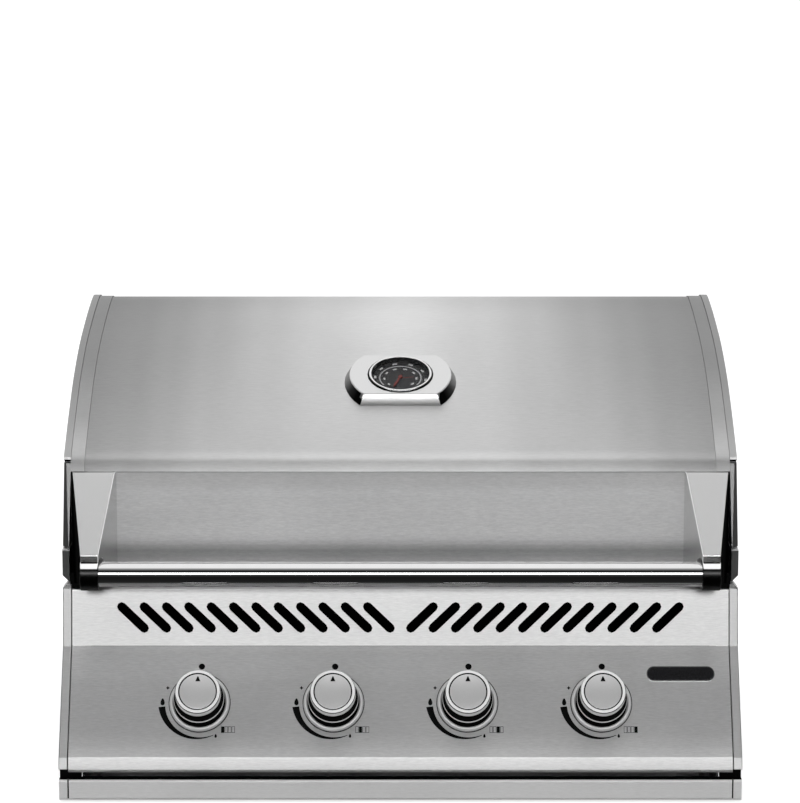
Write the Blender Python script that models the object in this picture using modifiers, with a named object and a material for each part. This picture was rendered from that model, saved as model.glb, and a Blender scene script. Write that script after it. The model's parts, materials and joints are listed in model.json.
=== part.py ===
"""Built-in gas grill head with a roll-back lid, four burners, a control panel and a drip tray.

Metres, +Z up. The front faces -Y. The origin is under the middle of the grill, at the level it
rests on. In the side views below a point is (depth, height): depth runs back from the front lip
and height runs up from the resting level.
"""

import math

import bmesh
import bpy
from mathutils import Euler, Vector

# Overall sizes
WIDTH = 0.813
DEPTH = 0.650
HEIGHT = 0.530

# Sheets, fits and mesh fineness
SEAT_GAP = 0.0003
CUT_OVERRUN = 0.006
PANEL_SHEET = 0.0015
BOX_SHEET = 0.002
FOLD_RADIUS = 0.003
MERGE = 0.00002
FOLD_STEPS = 3
TURN_STEPS = 24
ROD_SIDES = 4
TUBE_RINGS = 2
SMOOTH_ANGLE = math.radians(35)

# Control panel and vent band, seen from the side
LIP_UNDERSIDE = 0.0378
LIP_RISE = 0.0181
LIP_LEAN = 0.0032
LIP_RETURN = 0.014
PANEL_RUN = 0.0745
PANEL_RISE = 0.1175
BAND_LEAN = 0.0119
BAND_RISE = 0.0675

# End castings of the fascia
FASCIA_END_WIDTH = 0.0108
FASCIA_END_GAP = 0.0008
FASCIA_END_INSET = 0.003
FASCIA_END_DEEP = 0.016
FASCIA_END_TOP_DEEP = 0.028
FASCIA_END_ABOVE = 0.0055
FASCIA_END_LIFT = 0.003
FASCIA_END_CORNER = 0.005
FASCIA_END_BEVEL = 0.0008
FASCIA_FOOT_SETBACK = 0.0015
FASCIA_FOOT_DROP = 0.0093
FASCIA_FOOT_RISE = 0.0165

# Slanted vents in the band
VENTS_A_SIDE = 12
VENT_WIDTH = 0.0112
VENT_PITCH = 0.0269
VENT_SLANT = 0.0273
VENT_RISE = 0.0259
VENT_FIRST = 0.0396
VENT_ARC_STEPS = 4

# Lid shell, seen from the side
LID_FOLD_DEPTH = 0.1228
LID_FOLD_HEIGHT = 0.3788
LID_BACK_RADIUS = 0.085
LID_BACK_EDGE = 0.348
LID_CURVE_SHARES = (
    (0.0, 0.0), (0.02, 0.104), (0.075, 0.205), (0.172, 0.366), (0.327, 0.591),
    (0.52, 0.78), (0.722, 0.9), (0.86, 0.962), (1.0, 1.0),
)
LID_CURVE_STEPS = 3
LID_BACK_STEPS = 6
LID_HEM = 0.009
LID_PANEL_DEPTH = 0.128
LID_PANEL_HEM = 0.008
LID_PANEL_LIFT = 0.002

# End castings of the lid and the strips beside them
LID_END_WIDTH = 0.0084
LID_END_PROUD = 0.0015
LID_END_FRONT = 0.089
LID_END_TAIL = 0.035
LID_END_NOTCH = 0.0036
LID_END_NOTCH_DEEP = 0.008
LID_END_NOTCH_UP = 0.0084
LID_END_POCKET_RIM = 0.007
LID_END_POCKET_DEEP = 0.005
FACET_TOP_WIDTH = 0.003
FACET_TOP_DEEP = 0.004
FACET_FOOT_DEEP = 0.011
LID_TRIM_WIDTH = 0.0165
LID_TRIM_PROUD = 0.001
PARTING_GAP = 0.002

# Lid hinge
HINGE_INSET = 0.060
HINGE_HEIGHT = 0.328
HINGE_PIN_RADIUS = 0.005
HINGE_HEAD_RADIUS = 0.009
HINGE_HEAD_HEIGHT = 0.0016
HINGE_EAR_RADIUS = 0.018
HINGE_EAR_WIDTH = 0.008
HINGE_EAR_GAP = 0.004

# Handle
HANDLE_DEPTH = 0.055
HANDLE_ABOVE_BAND = 0.0261
HANDLE_RADIUS = 0.015
HANDLE_SIDES = 32
HANDLE_END_RADIUS = 0.0195
HANDLE_END_BEVEL = 0.0012
BRACKET_INSET = 0.0365
BRACKET_BASE_WIDTH = 0.054
BRACKET_NOSE_WIDTH = 0.0215
BRACKET_TOP_DEPTH = 0.1195
BRACKET_NOSE_DEPTH = 0.044
BRACKET_NOSE_ABOVE = 0.0249
BRACKET_FOOT_BELOW = 0.017
BRACKET_FOOT_DEPTH = 0.076
BRACKET_BEVEL = 0.0012
SADDLE_START = math.radians(122)
SADDLE_END = math.radians(-55)
SADDLE_STEPS = 16

# Temperature gauge
GAUGE_SHARE = 0.318
GAUGE_TOP_RADIUS = 0.0628
GAUGE_FLAT = 0.0438
GAUGE_DRAFT_SHARE = 1.105
GAUGE_HEIGHT = 0.012
GAUGE_ROOT = 0.004
GAUGE_EDGE = 0.0008
GAUGE_SIDE_STEPS = 10
GAUGE_POCKET_RADIUS = 0.041
GAUGE_POCKET_FLOOR = 0.003
GAUGE_RIM_RADIUS = 0.0388
GAUGE_RIM_TOP = 0.0142
GAUGE_RIM_CHAMFER = 0.0008
GAUGE_DIAL_RADIUS = 0.036
GAUGE_CUP_FLOOR = 0.005
GAUGE_DIAL_THICK = 0.001
GAUGE_LENS_TOP = 0.0128
GAUGE_LENS_THICK = 0.0018
GAUGE_PROBE_RADIUS = 0.0035
GAUGE_PROBE_LENGTH = 0.070
GAUGE_HOLE_RADIUS = 0.0045
NEEDLE_LENGTH = 0.0235
NEEDLE_TAIL = 0.004
NEEDLE_WIDTH = 0.003
NEEDLE_ROOT_WIDTH = 0.0012
NEEDLE_WIDEST_SHARE = 0.78
NEEDLE_THICK = 0.0006
NEEDLE_HUB_RADIUS = 0.0026
NEEDLE_LIFT = 0.0015
NEEDLE_REST = math.radians(-159)

# Carcass
SIDE_OVERHANG = 0.0265
FRONT_WALL_DEPTH = 0.140
BACK_WALL_INSET = 0.050
FRONT_WALL_FOOT = 0.043
FRONT_WALL_TOP = 0.265
WALL_TOP = 0.287
WALL_FRONT_FOOT = 0.024
WALL_FLANGE = 0.024
BACK_WALL_TOP = 0.293
LEDGE_DEEP = 0.014
GRATE_LEDGE = 0.251
PLATE_LEDGE = 0.203
BURNER_LEDGE_DEEP = 0.034

# Counter rails
RAIL_UNDERSIDE = 0.2478
RAIL_TOP = 0.289
RAIL_FRONT = 0.092
RAIL_BACK_INSET = 0.098
RAIL_CHAMFER = 0.0095
RAIL_FLOOR = 0.004

# Knobs and valves, along each knob's axis: up is out of the panel
KNOB_COUNT = 4
KNOB_PITCH = 0.160
KNOB_UP_PANEL = 0.0676
KNOB_TOP = 0.0462
KNOB_DOME = 0.0012
KNOB_FACE_RADIUS = 0.0216
KNOB_GROOVE = 0.0014
KNOB_HEAD_RADIUS = 0.0272
KNOB_HEAD_CHAMFER = 0.0022
KNOB_HEAD_FOOT = 0.034
KNOB_WAIST_RADIUS = 0.0258
KNOB_FLANGE_RADIUS = 0.030
KNOB_FLANGE_TOP = 0.0202
KNOB_FLANGE_FOOT = 0.0168
KNOB_SKIRT_RADIUS = 0.0288
KNOB_FOOT = 0.0058
KNOB_TRAVEL = 0.004
BEZEL_RADIUS = 0.036
BEZEL_BORE = 0.031
BEZEL_HEIGHT = 0.0046
BEZEL_EDGE = 0.0014
STEM_RADIUS = 0.004
STEM_TOP = 0.0335
STEM_HOLE_RADIUS = 0.008
PLUG_RADIUS = 0.0065
PLUG_TOP = 0.014
PLUG_FOOT = 0.040
VALVE_TOP = 0.010
VALVE_FOOT = 0.046
VALVE_WIDTH = 0.026
VALVE_BEVEL = 0.002
ORIFICE_RADIUS = 0.005
ORIFICE_START = 0.040
ORIFICE_END_DEPTH = 0.096
MANIFOLD_RADIUS = 0.011
MANIFOLD_BELOW = 0.022
MANIFOLD_BEHIND = 0.036
MANIFOLD_START = 0.300
MANIFOLD_END_GAP = 0.002
INLET_RADIUS = 0.0135
INLET_LENGTH = 0.012
INLET_SIDES = 6

# Burners, heat plates and grates
BURNER_RADIUS = 0.014
BURNER_HEIGHT = 0.168
BURNER_BACK_GAP = 0.020
BURNER_HOLE_GAP = 0.002
BURNER_RISE_SHARES = (
    (0.0, 0.0), (0.1, 0.0), (0.16, 0.06), (0.22, 0.3), (0.28, 0.68),
    (0.33, 0.92), (0.39, 1.0), (0.7, 1.0), (1.0, 1.0),
)
PLATE_WIDTH = 0.130
PLATE_RIDGE_WIDTH = 0.040
PLATE_RISE = 0.026
WALL_CLEARANCE = 0.0015
GRATE_COUNT = 3
GRATE_RODS = 13
GRATE_ROD_RADIUS = 0.004
GRATE_GAP = 0.003
GRATE_BAR_WIDTH = 0.006
GRATE_BAR_HEIGHT = 0.008
GRATE_BAR_SINK = 0.0012
GRATE_BAR_SHARES = (0.05, 0.5, 0.95)

# Warming rack
RACK_RODS = 6
RACK_ROD_RADIUS = 0.003
RACK_FRONT_INSET = 0.250
RACK_BACK_INSET = 0.105
RACK_HEIGHT = 0.375
RACK_BAR = 0.0074
RACK_LEG = 0.0056
RACK_FOOT_INSET = 0.009
RACK_LEG_SHARES = (0.1, 0.9)

# Drip tray
TRAY_FRONT_DEPTH = 0.007
TRAY_FRONT_FOOT = 0.002
TRAY_FRONT_RISE = 0.0256
TRAY_FRONT_SHEET = 0.003
TRAY_FRONT_RETURN = 0.014
TRAY_GROOVE = 0.0018
TRAY_GROOVE_DEEP = 0.002
TRAY_SIDE_GAP = 0.012
TRAY_BACK_GAP = 0.006
TRAY_RISE = 0.022

SIDES = (("left", -1), ("right", 1))

# Places worked out from the sizes
HALF_WIDTH = WIDTH / 2
LIP_BOTTOM = Vector((0, LIP_UNDERSIDE))
LIP_TOP = LIP_BOTTOM + Vector((LIP_LEAN, LIP_RISE))
PANEL_TOP = LIP_TOP + Vector((PANEL_RUN, PANEL_RISE))
BAND_TOP = PANEL_TOP + Vector((BAND_LEAN, BAND_RISE))
PANEL_ANGLE = math.atan2(PANEL_RISE, PANEL_RUN)
PANEL_UP = Vector((math.cos(PANEL_ANGLE), math.sin(PANEL_ANGLE)))
PANEL_OUT = Vector((-math.sin(PANEL_ANGLE), math.cos(PANEL_ANGLE)))
BAND_ANGLE = math.atan2(BAND_RISE, BAND_LEAN)
FASCIA_HALF = HALF_WIDTH - FASCIA_END_WIDTH - FASCIA_END_GAP
LID_INNER_HALF = HALF_WIDTH - LID_END_WIDTH - SEAT_GAP
LID_SKIN_HALF = LID_INNER_HALF - LID_TRIM_WIDTH - SEAT_GAP
LID_PARTING = RAIL_TOP + PARTING_GAP
CROWN_DEPTH = DEPTH - LID_BACK_RADIUS
HINGE_DEPTH = DEPTH - HINGE_INSET
BACK_WALL_DEPTH = DEPTH - BACK_WALL_INSET
RAIL_BACK = DEPTH - RAIL_BACK_INSET
RACK_FRONT = DEPTH - RACK_FRONT_INSET
RACK_BACK = DEPTH - RACK_BACK_INSET
BRACKET_CENTRE = HALF_WIDTH - BRACKET_INSET
HANDLE_HEIGHT = BAND_TOP.y + HANDLE_ABOVE_BAND
BRACKET_NOSE_HEIGHT = HANDLE_HEIGHT + BRACKET_NOSE_ABOVE
BRACKET_FOOT_HEIGHT = HANDLE_HEIGHT - BRACKET_FOOT_BELOW
BOX_HALF = HALF_WIDTH - SIDE_OVERHANG
INNER_HALF = BOX_HALF - BOX_SHEET
INNER_FRONT = FRONT_WALL_DEPTH + BOX_SHEET
INNER_BACK = BACK_WALL_DEPTH - BOX_SHEET
MANIFOLD_END = HALF_WIDTH - MANIFOLD_END_GAP
FLANGE_HALF = HALF_WIDTH - LID_END_WIDTH - SEAT_GAP
SKIN_INSET = LID_END_PROUD + LID_TRIM_PROUD

FINISHES = {
    "brushed steel": ((0.60, 0.60, 0.60), 0.36, 1.0),
    "polished steel": ((0.74, 0.74, 0.74), 0.10, 1.0),
    "cast grey": ((0.42, 0.42, 0.42), 0.42, 1.0),
    "plain steel": ((0.48, 0.48, 0.47), 0.45, 1.0),
    "brass": ((0.62, 0.47, 0.22), 0.35, 1.0),
    "dial black": ((0.02, 0.02, 0.022), 0.5, 0.0),
    "glass": ((0.9, 0.92, 0.93), 0.03, 0.0),
    "needle red": ((0.55, 0.04, 0.03), 0.4, 0.0),
}


def knob_profile():
    """Outline of a knob from its domed face down to its skirt, with the stem's bore."""
    bore = STEM_RADIUS + SEAT_GAP
    bore_top = STEM_TOP + KNOB_TRAVEL + SEAT_GAP
    rim = KNOB_TOP - KNOB_DOME
    head = KNOB_HEAD_RADIUS
    return [
        (0, KNOB_TOP),
        (KNOB_FACE_RADIUS, rim),
        (KNOB_FACE_RADIUS, rim - KNOB_GROOVE),
        (KNOB_FACE_RADIUS + KNOB_GROOVE, rim - KNOB_GROOVE),
        (KNOB_FACE_RADIUS + KNOB_GROOVE, KNOB_TOP - KNOB_DOME / 2),
        (head - KNOB_HEAD_CHAMFER, rim),
        (head, rim - KNOB_HEAD_CHAMFER),
        (head, KNOB_HEAD_FOOT),
        (KNOB_WAIST_RADIUS, KNOB_HEAD_FOOT - KNOB_HEAD_CHAMFER),
        (KNOB_WAIST_RADIUS, KNOB_FLANGE_TOP + KNOB_HEAD_CHAMFER),
        (KNOB_FLANGE_RADIUS, KNOB_FLANGE_TOP),
        (KNOB_FLANGE_RADIUS, KNOB_FLANGE_FOOT),
        (KNOB_SKIRT_RADIUS, KNOB_FLANGE_FOOT - KNOB_GROOVE),
        (KNOB_SKIRT_RADIUS, KNOB_FOOT),
        (bore, KNOB_FOOT),
        (bore, bore_top),
        (0, bore_top),
    ]


def on_panel(up, out):
    """Place above the lip along the control panel, and out of its face."""
    return LIP_TOP + PANEL_UP * up + PANEL_OUT * out


def front_reach():
    """How far the knobs reach in front of the lip."""
    return max(radius * PANEL_UP.x - on_panel(KNOB_UP_PANEL, height).x
               for radius, height in knob_profile())


FRONT_Y = (front_reach() - DEPTH) / 2


def clear_scene():
    """Remove what the file starts with."""
    for obj in list(bpy.data.objects):
        bpy.data.objects.remove(obj, do_unlink=True)


def make_collection(name):
    """Add a collection to the scene."""
    collection = bpy.data.collections.new(name)
    bpy.context.scene.collection.children.link(collection)
    return collection


clear_scene()
GRILL = make_collection("gas_grill")
CUTTERS = make_collection("cutters")


def paint(obj, finish):
    """Give an object a material of its own in one of the finishes."""
    colour, roughness, metallic = FINISHES[finish]
    material = bpy.data.materials.new(obj.name + "_finish")
    material.use_nodes = True
    shader = material.node_tree.nodes["Principled BSDF"]
    shader.inputs["Base Color"].default_value = (*colour, 1)
    shader.inputs["Roughness"].default_value = roughness
    shader.inputs["Metallic"].default_value = metallic
    material.diffuse_color = (*colour, 1)
    obj.data.materials.clear()
    obj.data.materials.append(material)


def add_object(name, data, finish=None):
    """Link a new object: a finished part, or a cutter when it has no finish."""
    obj = bpy.data.objects.new(name, data)
    if finish is None:
        CUTTERS.objects.link(obj)
        obj.hide_render = True
        obj.display_type = "WIRE"
    else:
        GRILL.objects.link(obj)
        paint(obj, finish)
    return obj


def add_frame(name, place, angle):
    """Add an empty on the middle plane, tilted about X, to carry other objects."""
    depth, height = place
    empty = bpy.data.objects.new(name, None)
    GRILL.objects.link(empty)
    empty.location = (0, FRONT_Y + depth, height)
    empty.rotation_euler = (angle, 0, 0)
    return empty


def carry(parent, *objects):
    """Parent objects to an empty and keep them where they are."""
    bpy.context.view_layer.update()
    for obj in objects:
        obj.parent = parent
        obj.matrix_parent_inverse = parent.matrix_world.inverted()


def mount(parent, *objects):
    """Parent objects to an empty and place them in its own axes."""
    for obj in objects:
        obj.parent = parent


def smooth(obj):
    """Shade round faces smooth and keep the edges crisp."""
    obj.data.shade_smooth()
    obj.data.set_sharp_from_angle(angle=SMOOTH_ANGLE)


def mesh_from(name, builder):
    """Run a bmesh builder and return its mesh."""
    shape = bmesh.new()
    builder(shape)
    mesh = bpy.data.meshes.new(name)
    shape.to_mesh(mesh)
    shape.free()
    return mesh


def as_mesh(curve_object, finish):
    """Replace a curve object by a welded mesh object in the same place."""
    bpy.context.view_layer.update()
    depsgraph = bpy.context.evaluated_depsgraph_get()
    mesh = bpy.data.meshes.new_from_object(curve_object.evaluated_get(depsgraph))
    name = curve_object.name
    matrix = curve_object.matrix_world.copy()
    bpy.data.objects.remove(curve_object, do_unlink=True)
    shape = bmesh.new()
    shape.from_mesh(mesh)
    bmesh.ops.remove_doubles(shape, verts=shape.verts, dist=MERGE)
    shape.to_mesh(mesh)
    shape.free()
    obj = add_object(name, mesh, finish)
    obj.name = name
    obj.matrix_world = matrix
    return obj


def boolean(target, tool, operation):
    """Cut one object by another, or join it to the other."""
    modifier = target.modifiers.new(tool.name, "BOOLEAN")
    modifier.operation = operation
    modifier.solver = "EXACT"
    modifier.object = tool


def cut(target, *tools):
    """Take every tool's shape out of the target."""
    for tool in tools:
        boolean(target, tool, "DIFFERENCE")


def join(target, *tools):
    """Fuse every tool's shape into the target."""
    for tool in tools:
        boolean(target, tool, "UNION")


def round_edges(obj, width):
    """Ease the sharp edges by one flat facet."""
    bevel = obj.modifiers.new("edges", "BEVEL")
    bevel.width = width
    bevel.segments = 1
    bevel.limit_method = "ANGLE"
    bevel.angle_limit = SMOOTH_ANGLE


def box(name, size, centre, finish=None):
    """Add a rectangular block."""
    mesh = mesh_from(name, lambda shape: bmesh.ops.create_cube(shape, size=1))
    obj = add_object(name, mesh, finish)
    mesh.transform(scale_matrix(size))
    obj.location = centre
    return obj


def scale_matrix(size):
    """Matrix that scales a unit shape to a size."""
    matrix = Euler((0, 0, 0)).to_matrix().to_4x4()
    for axis in range(len(size)):
        matrix[axis][axis] = size[axis]
    return matrix


def span_box(name, low, high, finish=None):
    """Add a block between two corners given as (x, depth, height)."""
    size = [high[axis] - low[axis] for axis in range(len(low))]
    middle = [(high[axis] + low[axis]) / 2 for axis in range(len(low))]
    return box(name, size, (middle[0], FRONT_Y + middle[1], middle[2]), finish)


def rod(name, start, end, radius, sides, finish=None):
    """Add a straight bar between two points given as (x, depth, height)."""
    first = Vector((start[0], FRONT_Y + start[1], start[2]))
    last = Vector((end[0], FRONT_Y + end[1], end[2]))
    along = last - first

    def build(shape):
        bmesh.ops.create_cone(
            shape, cap_ends=True, segments=sides, radius1=radius, radius2=radius,
            depth=along.length)

    obj = add_object(name, mesh_from(name, build), finish)
    obj.location = (first + last) / 2
    obj.rotation_euler = along.to_track_quat("Z", "Y").to_euler()
    if finish:
        smooth(obj)
    return obj


def turned(name, profile, finish=None, ring=False, steps=TURN_STEPS):
    """Turn a profile of (radius, height) points about Z. A ring's profile closes on itself."""
    count = len(profile)
    edges = [(i, i + 1) for i in range(count - 1)]
    if ring:
        edges.append((count - 1, 0))
    mesh = bpy.data.meshes.new(name)
    mesh.from_pydata([(radius, 0, height) for radius, height in profile], edges, [])
    obj = add_object(name, mesh, finish)
    screw = obj.modifiers.new("turn", "SCREW")
    screw.steps = steps
    screw.render_steps = steps
    screw.use_merge_vertices = True
    screw.merge_threshold = MERGE
    screw.use_smooth_shade = True
    return obj


def tube(name, points, radius, finish):
    """Add a round tube along points given as (x, depth, height)."""
    curve = bpy.data.curves.new(name, "CURVE")
    curve.dimensions = "3D"
    curve.bevel_depth = radius
    curve.bevel_resolution = TUBE_RINGS
    curve.use_fill_caps = True
    spline = curve.splines.new("POLY")
    spline.points.add(len(points) - 1)
    for point, (x, depth, height) in zip(spline.points, points):
        point.co = (x, FRONT_Y + depth, height, 1)
    return as_mesh(add_object(name, curve), finish)


def flat_outline(name, outlines, thickness, finish=None):
    """Fill outlines drawn in local X and Y and thicken them evenly about local Z."""
    curve = bpy.data.curves.new(name, "CURVE")
    curve.dimensions = "2D"
    curve.fill_mode = "BOTH"
    curve.extrude = thickness / 2
    for outline in outlines:
        spline = curve.splines.new("POLY")
        spline.points.add(len(outline) - 1)
        spline.use_cyclic_u = True
        for point, (across, up) in zip(spline.points, outline):
            point.co = (across, up, 0, 1)
    return as_mesh(add_object(name, curve), finish)


def side_plate(name, outline, inner, outer, sign, finish=None):
    """Add an upright plate: a (depth, height) outline between two distances from the middle."""
    plate = flat_outline(name, [outline], outer - inner, finish)
    plate.rotation_euler = (math.pi / 2, 0, math.pi / 2)
    plate.location = (sign * (inner + outer) / 2, FRONT_Y, 0)
    return plate


def sheet(name, path, half_width, thickness, finish):
    """Sweep a (depth, height) path across X and thicken it behind its outer face."""
    return strip(name, path, -half_width, half_width, thickness, finish)


def strip(name, path, start, end, thickness, finish):
    """Sweep a path across X from start to end as a thin folded sheet."""

    def build(shape):
        rows = [
            [shape.verts.new((x, depth, height)) for x in (start, end)]
            for depth, height in path
        ]
        for lower, upper in zip(rows, rows[1:]):
            shape.faces.new((lower[0], lower[1], upper[1], upper[0]))

    obj = add_object(name, mesh_from(name, build), finish)
    obj.location = (0, FRONT_Y, 0)
    smooth(obj)
    wall = obj.modifiers.new("sheet", "SOLIDIFY")
    wall.thickness = thickness
    wall.offset = -1
    wall.use_even_offset = True
    return obj


def offset_path(path, distance):
    """Move an open path sideways, to the right of its direction."""
    moved = []
    for i, point in enumerate(path):
        before = point - path[i - 1] if i else path[1] - path[0]
        after = path[i + 1] - point if i + 1 < len(path) else before
        left = Vector((before.y, -before.x)).normalized()
        right = Vector((after.y, -after.x)).normalized()
        middle = (left + right).normalized()
        moved.append(point + middle * distance / middle.dot(left))
    return moved


def fold(path, radius=FOLD_RADIUS):
    """Round the inner corners of a path by arcs."""
    rounded = [path[0]]
    for before, corner, after in zip(path, path[1:], path[2:]):
        arrive = (corner - before).normalized()
        leave = (after - corner).normalized()
        turn = arrive.angle(leave)
        reach = radius * math.tan(turn / 2)
        for step in range(FOLD_STEPS + 1):
            share = step / FOLD_STEPS
            first = corner - arrive * reach * (1 - share)
            second = corner + leave * reach * share
            rounded.append(first.lerp(second, share))
    rounded.append(path[-1])
    return rounded


def smooth_path(points, steps):
    """Draw a smooth curve through points, level at its last one."""
    first = points[0] * 2 - points[1]
    last = Vector((points[-1].x * 2 - points[-2].x, points[-2].y))
    guide = [first, *points, last]
    path = []
    for i in range(1, len(guide) - 2):
        before, start, end, after = guide[i - 1:i + 3]
        for step in range(steps):
            t = step / steps
            path.append(
                (start * 2 + (end - before) * t
                 + (before * 2 - start * 5 + end * 4 - after) * t ** 2
                 + (start * 3 - before - end * 3 + after) * t ** 3) / 2)
    path.append(points[-1])
    return path


def arc(centre, radius, start, end, steps):
    """Points on an arc, both ends included."""
    points = []
    for step in range(steps + 1):
        angle = start + (end - start) * step / steps
        points.append(centre + Vector((math.cos(angle), math.sin(angle))) * radius)
    return points


def world_point(x, place):
    """Turn a distance from the middle and a (depth, height) place into (x, depth, height)."""
    return (x, place.x, place.y)


def knob_places():
    """Distances of the knobs and burners from the middle."""
    first = -KNOB_PITCH * (KNOB_COUNT - 1) / 2
    return [first + KNOB_PITCH * number for number in range(KNOB_COUNT)]


def lid_outline(inset):
    """Lid's outer surface from the front fold over the crown to the back edge, moved inwards."""
    run = CROWN_DEPTH - LID_FOLD_DEPTH
    rise = HEIGHT - LID_FOLD_HEIGHT
    guide = [
        Vector((LID_FOLD_DEPTH + across * run, LID_FOLD_HEIGHT + up * rise))
        for across, up in LID_CURVE_SHARES
    ]
    top = smooth_path(guide, LID_CURVE_STEPS)
    centre = Vector((CROWN_DEPTH, HEIGHT - LID_BACK_RADIUS))
    corner = arc(centre, LID_BACK_RADIUS, math.pi / 2, 0, LID_BACK_STEPS)
    back_edge = Vector((DEPTH, LID_BACK_EDGE))
    return offset_path(top + corner[1:] + [back_edge], inset)


def fold_underside():
    """Height of what fits under the hem of the lid skin."""
    return lid_outline(SKIN_INSET)[0].y - SEAT_GAP


def make_control_panel():
    """Sloping panel with its folded lip and a hole for each valve stem."""
    start = LIP_BOTTOM + Vector((LIP_RETURN, 0))
    path = fold([start, LIP_BOTTOM, LIP_TOP, PANEL_TOP])
    panel = sheet("control_panel", path, FASCIA_HALF, PANEL_SHEET, "brushed steel")
    for number, x in enumerate(knob_places(), 1):
        low = world_point(x, on_panel(KNOB_UP_PANEL, -CUT_OVERRUN))
        high = world_point(x, on_panel(KNOB_UP_PANEL, CUT_OVERRUN))
        cut(panel, rod(f"cut_stem_hole_{number}", low, high, STEM_HOLE_RADIUS, TURN_STEPS // 2))


def vent_outlines():
    """Slanted slots with round ends, both sides of the middle, drawn on the band's face."""
    lean = Vector((VENT_SLANT, VENT_RISE))
    square = math.atan2(VENT_RISE, VENT_SLANT)
    outlines = []
    for _, sign in SIDES:
        for number in range(VENTS_A_SIDE):
            top = Vector((VENT_FIRST + VENT_PITCH * number, VENT_RISE / 2))
            upper = arc(top, VENT_WIDTH / 2, square - math.pi / 2, square + math.pi / 2,
                        VENT_ARC_STEPS)
            lower = arc(top - lean, VENT_WIDTH / 2, square + math.pi / 2,
                        square + 3 * math.pi / 2, VENT_ARC_STEPS)
            outlines.append([(sign * point.x, point.y) for point in upper + lower])
    return outlines


def make_vent_band():
    """Band above the panel with its vents, folded back over the control box."""
    up = (BAND_TOP - PANEL_TOP).normalized()
    foot = PANEL_TOP + up * SEAT_GAP
    back = Vector((FRONT_WALL_DEPTH - SEAT_GAP, BAND_TOP.y))
    band = sheet("vent_band", fold([foot, BAND_TOP, back]), FASCIA_HALF, PANEL_SHEET,
                 "brushed steel")
    vents = flat_outline("cut_vents", vent_outlines(), CUT_OVERRUN * 2)
    middle = (PANEL_TOP + BAND_TOP) / 2
    vents.location = (0, FRONT_Y + middle.x, middle.y)
    vents.rotation_euler = (BAND_ANGLE, 0, 0)
    cut(band, vents)


def make_fascia_ends():
    """End castings that follow the fascia's side outline, with a foot behind the lip."""
    raised = BAND_TOP + Vector((0, FASCIA_END_ABOVE))
    face = offset_path([LIP_BOTTOM, LIP_TOP, PANEL_TOP, BAND_TOP, raised], FASCIA_END_INSET)
    face[0].y = LIP_UNDERSIDE + FASCIA_END_LIFT
    rear = offset_path(face, FASCIA_END_DEEP)
    rear[0].y = face[0].y
    rear[-1] = face[-1] + Vector((FASCIA_END_TOP_DEEP, 0))
    for side, sign in SIDES:
        end = side_plate(f"fascia_end_{side}", face + rear[::-1],
                         HALF_WIDTH - FASCIA_END_WIDTH, HALF_WIDTH, sign, "brushed steel")
        round_edges(end, FASCIA_END_BEVEL)
        corner = span_box(
            f"cut_fascia_corner_{side}",
            (0, face[-1].x - CUT_OVERRUN, 0),
            (FASCIA_END_CORNER * 2, rear[-1].x + CUT_OVERRUN, FASCIA_END_CORNER * 2))
        corner.rotation_euler = (0, math.pi / 4, 0)
        corner.location.x = sign * HALF_WIDTH
        corner.location.z = face[-1].y + FASCIA_END_CORNER * (math.sqrt(2) - 1)
        low = LIP_UNDERSIDE - FASCIA_FOOT_DROP
        foot = span_box(
            f"join_fascia_foot_{side}",
            (BOX_HALF + SEAT_GAP, LIP_RETURN + FASCIA_FOOT_SETBACK, low),
            (HALF_WIDTH - SEAT_GAP, WALL_FRONT_FOOT - FASCIA_FOOT_SETBACK,
             low + FASCIA_FOOT_RISE))
        foot.location.x *= sign
        cut(end, corner)
        join(end, foot)


def make_lid_skin():
    """Curved lid sheet between the trim strips, hemmed at the front fold."""
    curve = lid_outline(SKIN_INSET)
    hem = curve[0] + Vector((LID_HEM, 0))
    return sheet("lid_skin", [hem] + curve, LID_SKIN_HALF, PANEL_SHEET, "brushed steel")


def make_lid_trims():
    """Thicker strips along both edges of the lid, a little proud of the skin."""
    curve = lid_outline(LID_END_PROUD)
    hem = curve[0] + Vector((LID_HEM, 0))
    trims = []
    for side, sign in SIDES:
        near = sign * (LID_SKIN_HALF + SEAT_GAP)
        far = sign * LID_INNER_HALF
        trims.append(strip(f"lid_trim_{side}", [hem] + curve, min(near, far), max(near, far),
                           PANEL_SHEET + LID_TRIM_PROUD, "brushed steel"))
    return trims


def make_lid_front_panel():
    """Upright recessed panel under the fold, hemmed top and bottom."""
    top = fold_underside()
    foot = BAND_TOP.y + LID_PANEL_LIFT
    corners = [
        Vector((LID_PANEL_DEPTH + LID_PANEL_HEM, foot)),
        Vector((LID_PANEL_DEPTH, foot)),
        Vector((LID_PANEL_DEPTH, top)),
        Vector((LID_PANEL_DEPTH + LID_PANEL_HEM, top)),
    ]
    return sheet("lid_front_panel", fold(corners), LID_INNER_HALF, PANEL_SHEET,
                 "brushed steel")


def lid_end_outline():
    """Side outline of a lid end casting with the notch above its sloping front."""
    curve = lid_outline(0)
    notch_foot = LID_FOLD_HEIGHT + LID_END_NOTCH_UP
    notch_top = notch_foot + LID_END_NOTCH
    above = [point for point in curve if point.y > notch_top or point.x > CROWN_DEPTH]
    face = above[0].x
    inner = face + LID_END_NOTCH_DEEP
    notch = [
        Vector((face - PANEL_SHEET, notch_foot)),
        Vector((inner, notch_foot)),
        Vector((inner, notch_top)),
        Vector((face - PANEL_SHEET / 2, notch_top)),
    ]
    tail = Vector((DEPTH - LID_END_TAIL, LID_PARTING))
    front_foot = Vector((LID_END_FRONT, LID_PARTING))
    return [front_foot] + notch + above + [tail]


def hull(name, points):
    """Add the convex cutter that wraps the given (x, depth, height) points."""

    def build(shape):
        for x, depth, height in points:
            shape.verts.new((x, FRONT_Y + depth, height))
        bmesh.ops.convex_hull(shape, input=shape.verts)

    return add_object(name, mesh_from(name, build))


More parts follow.
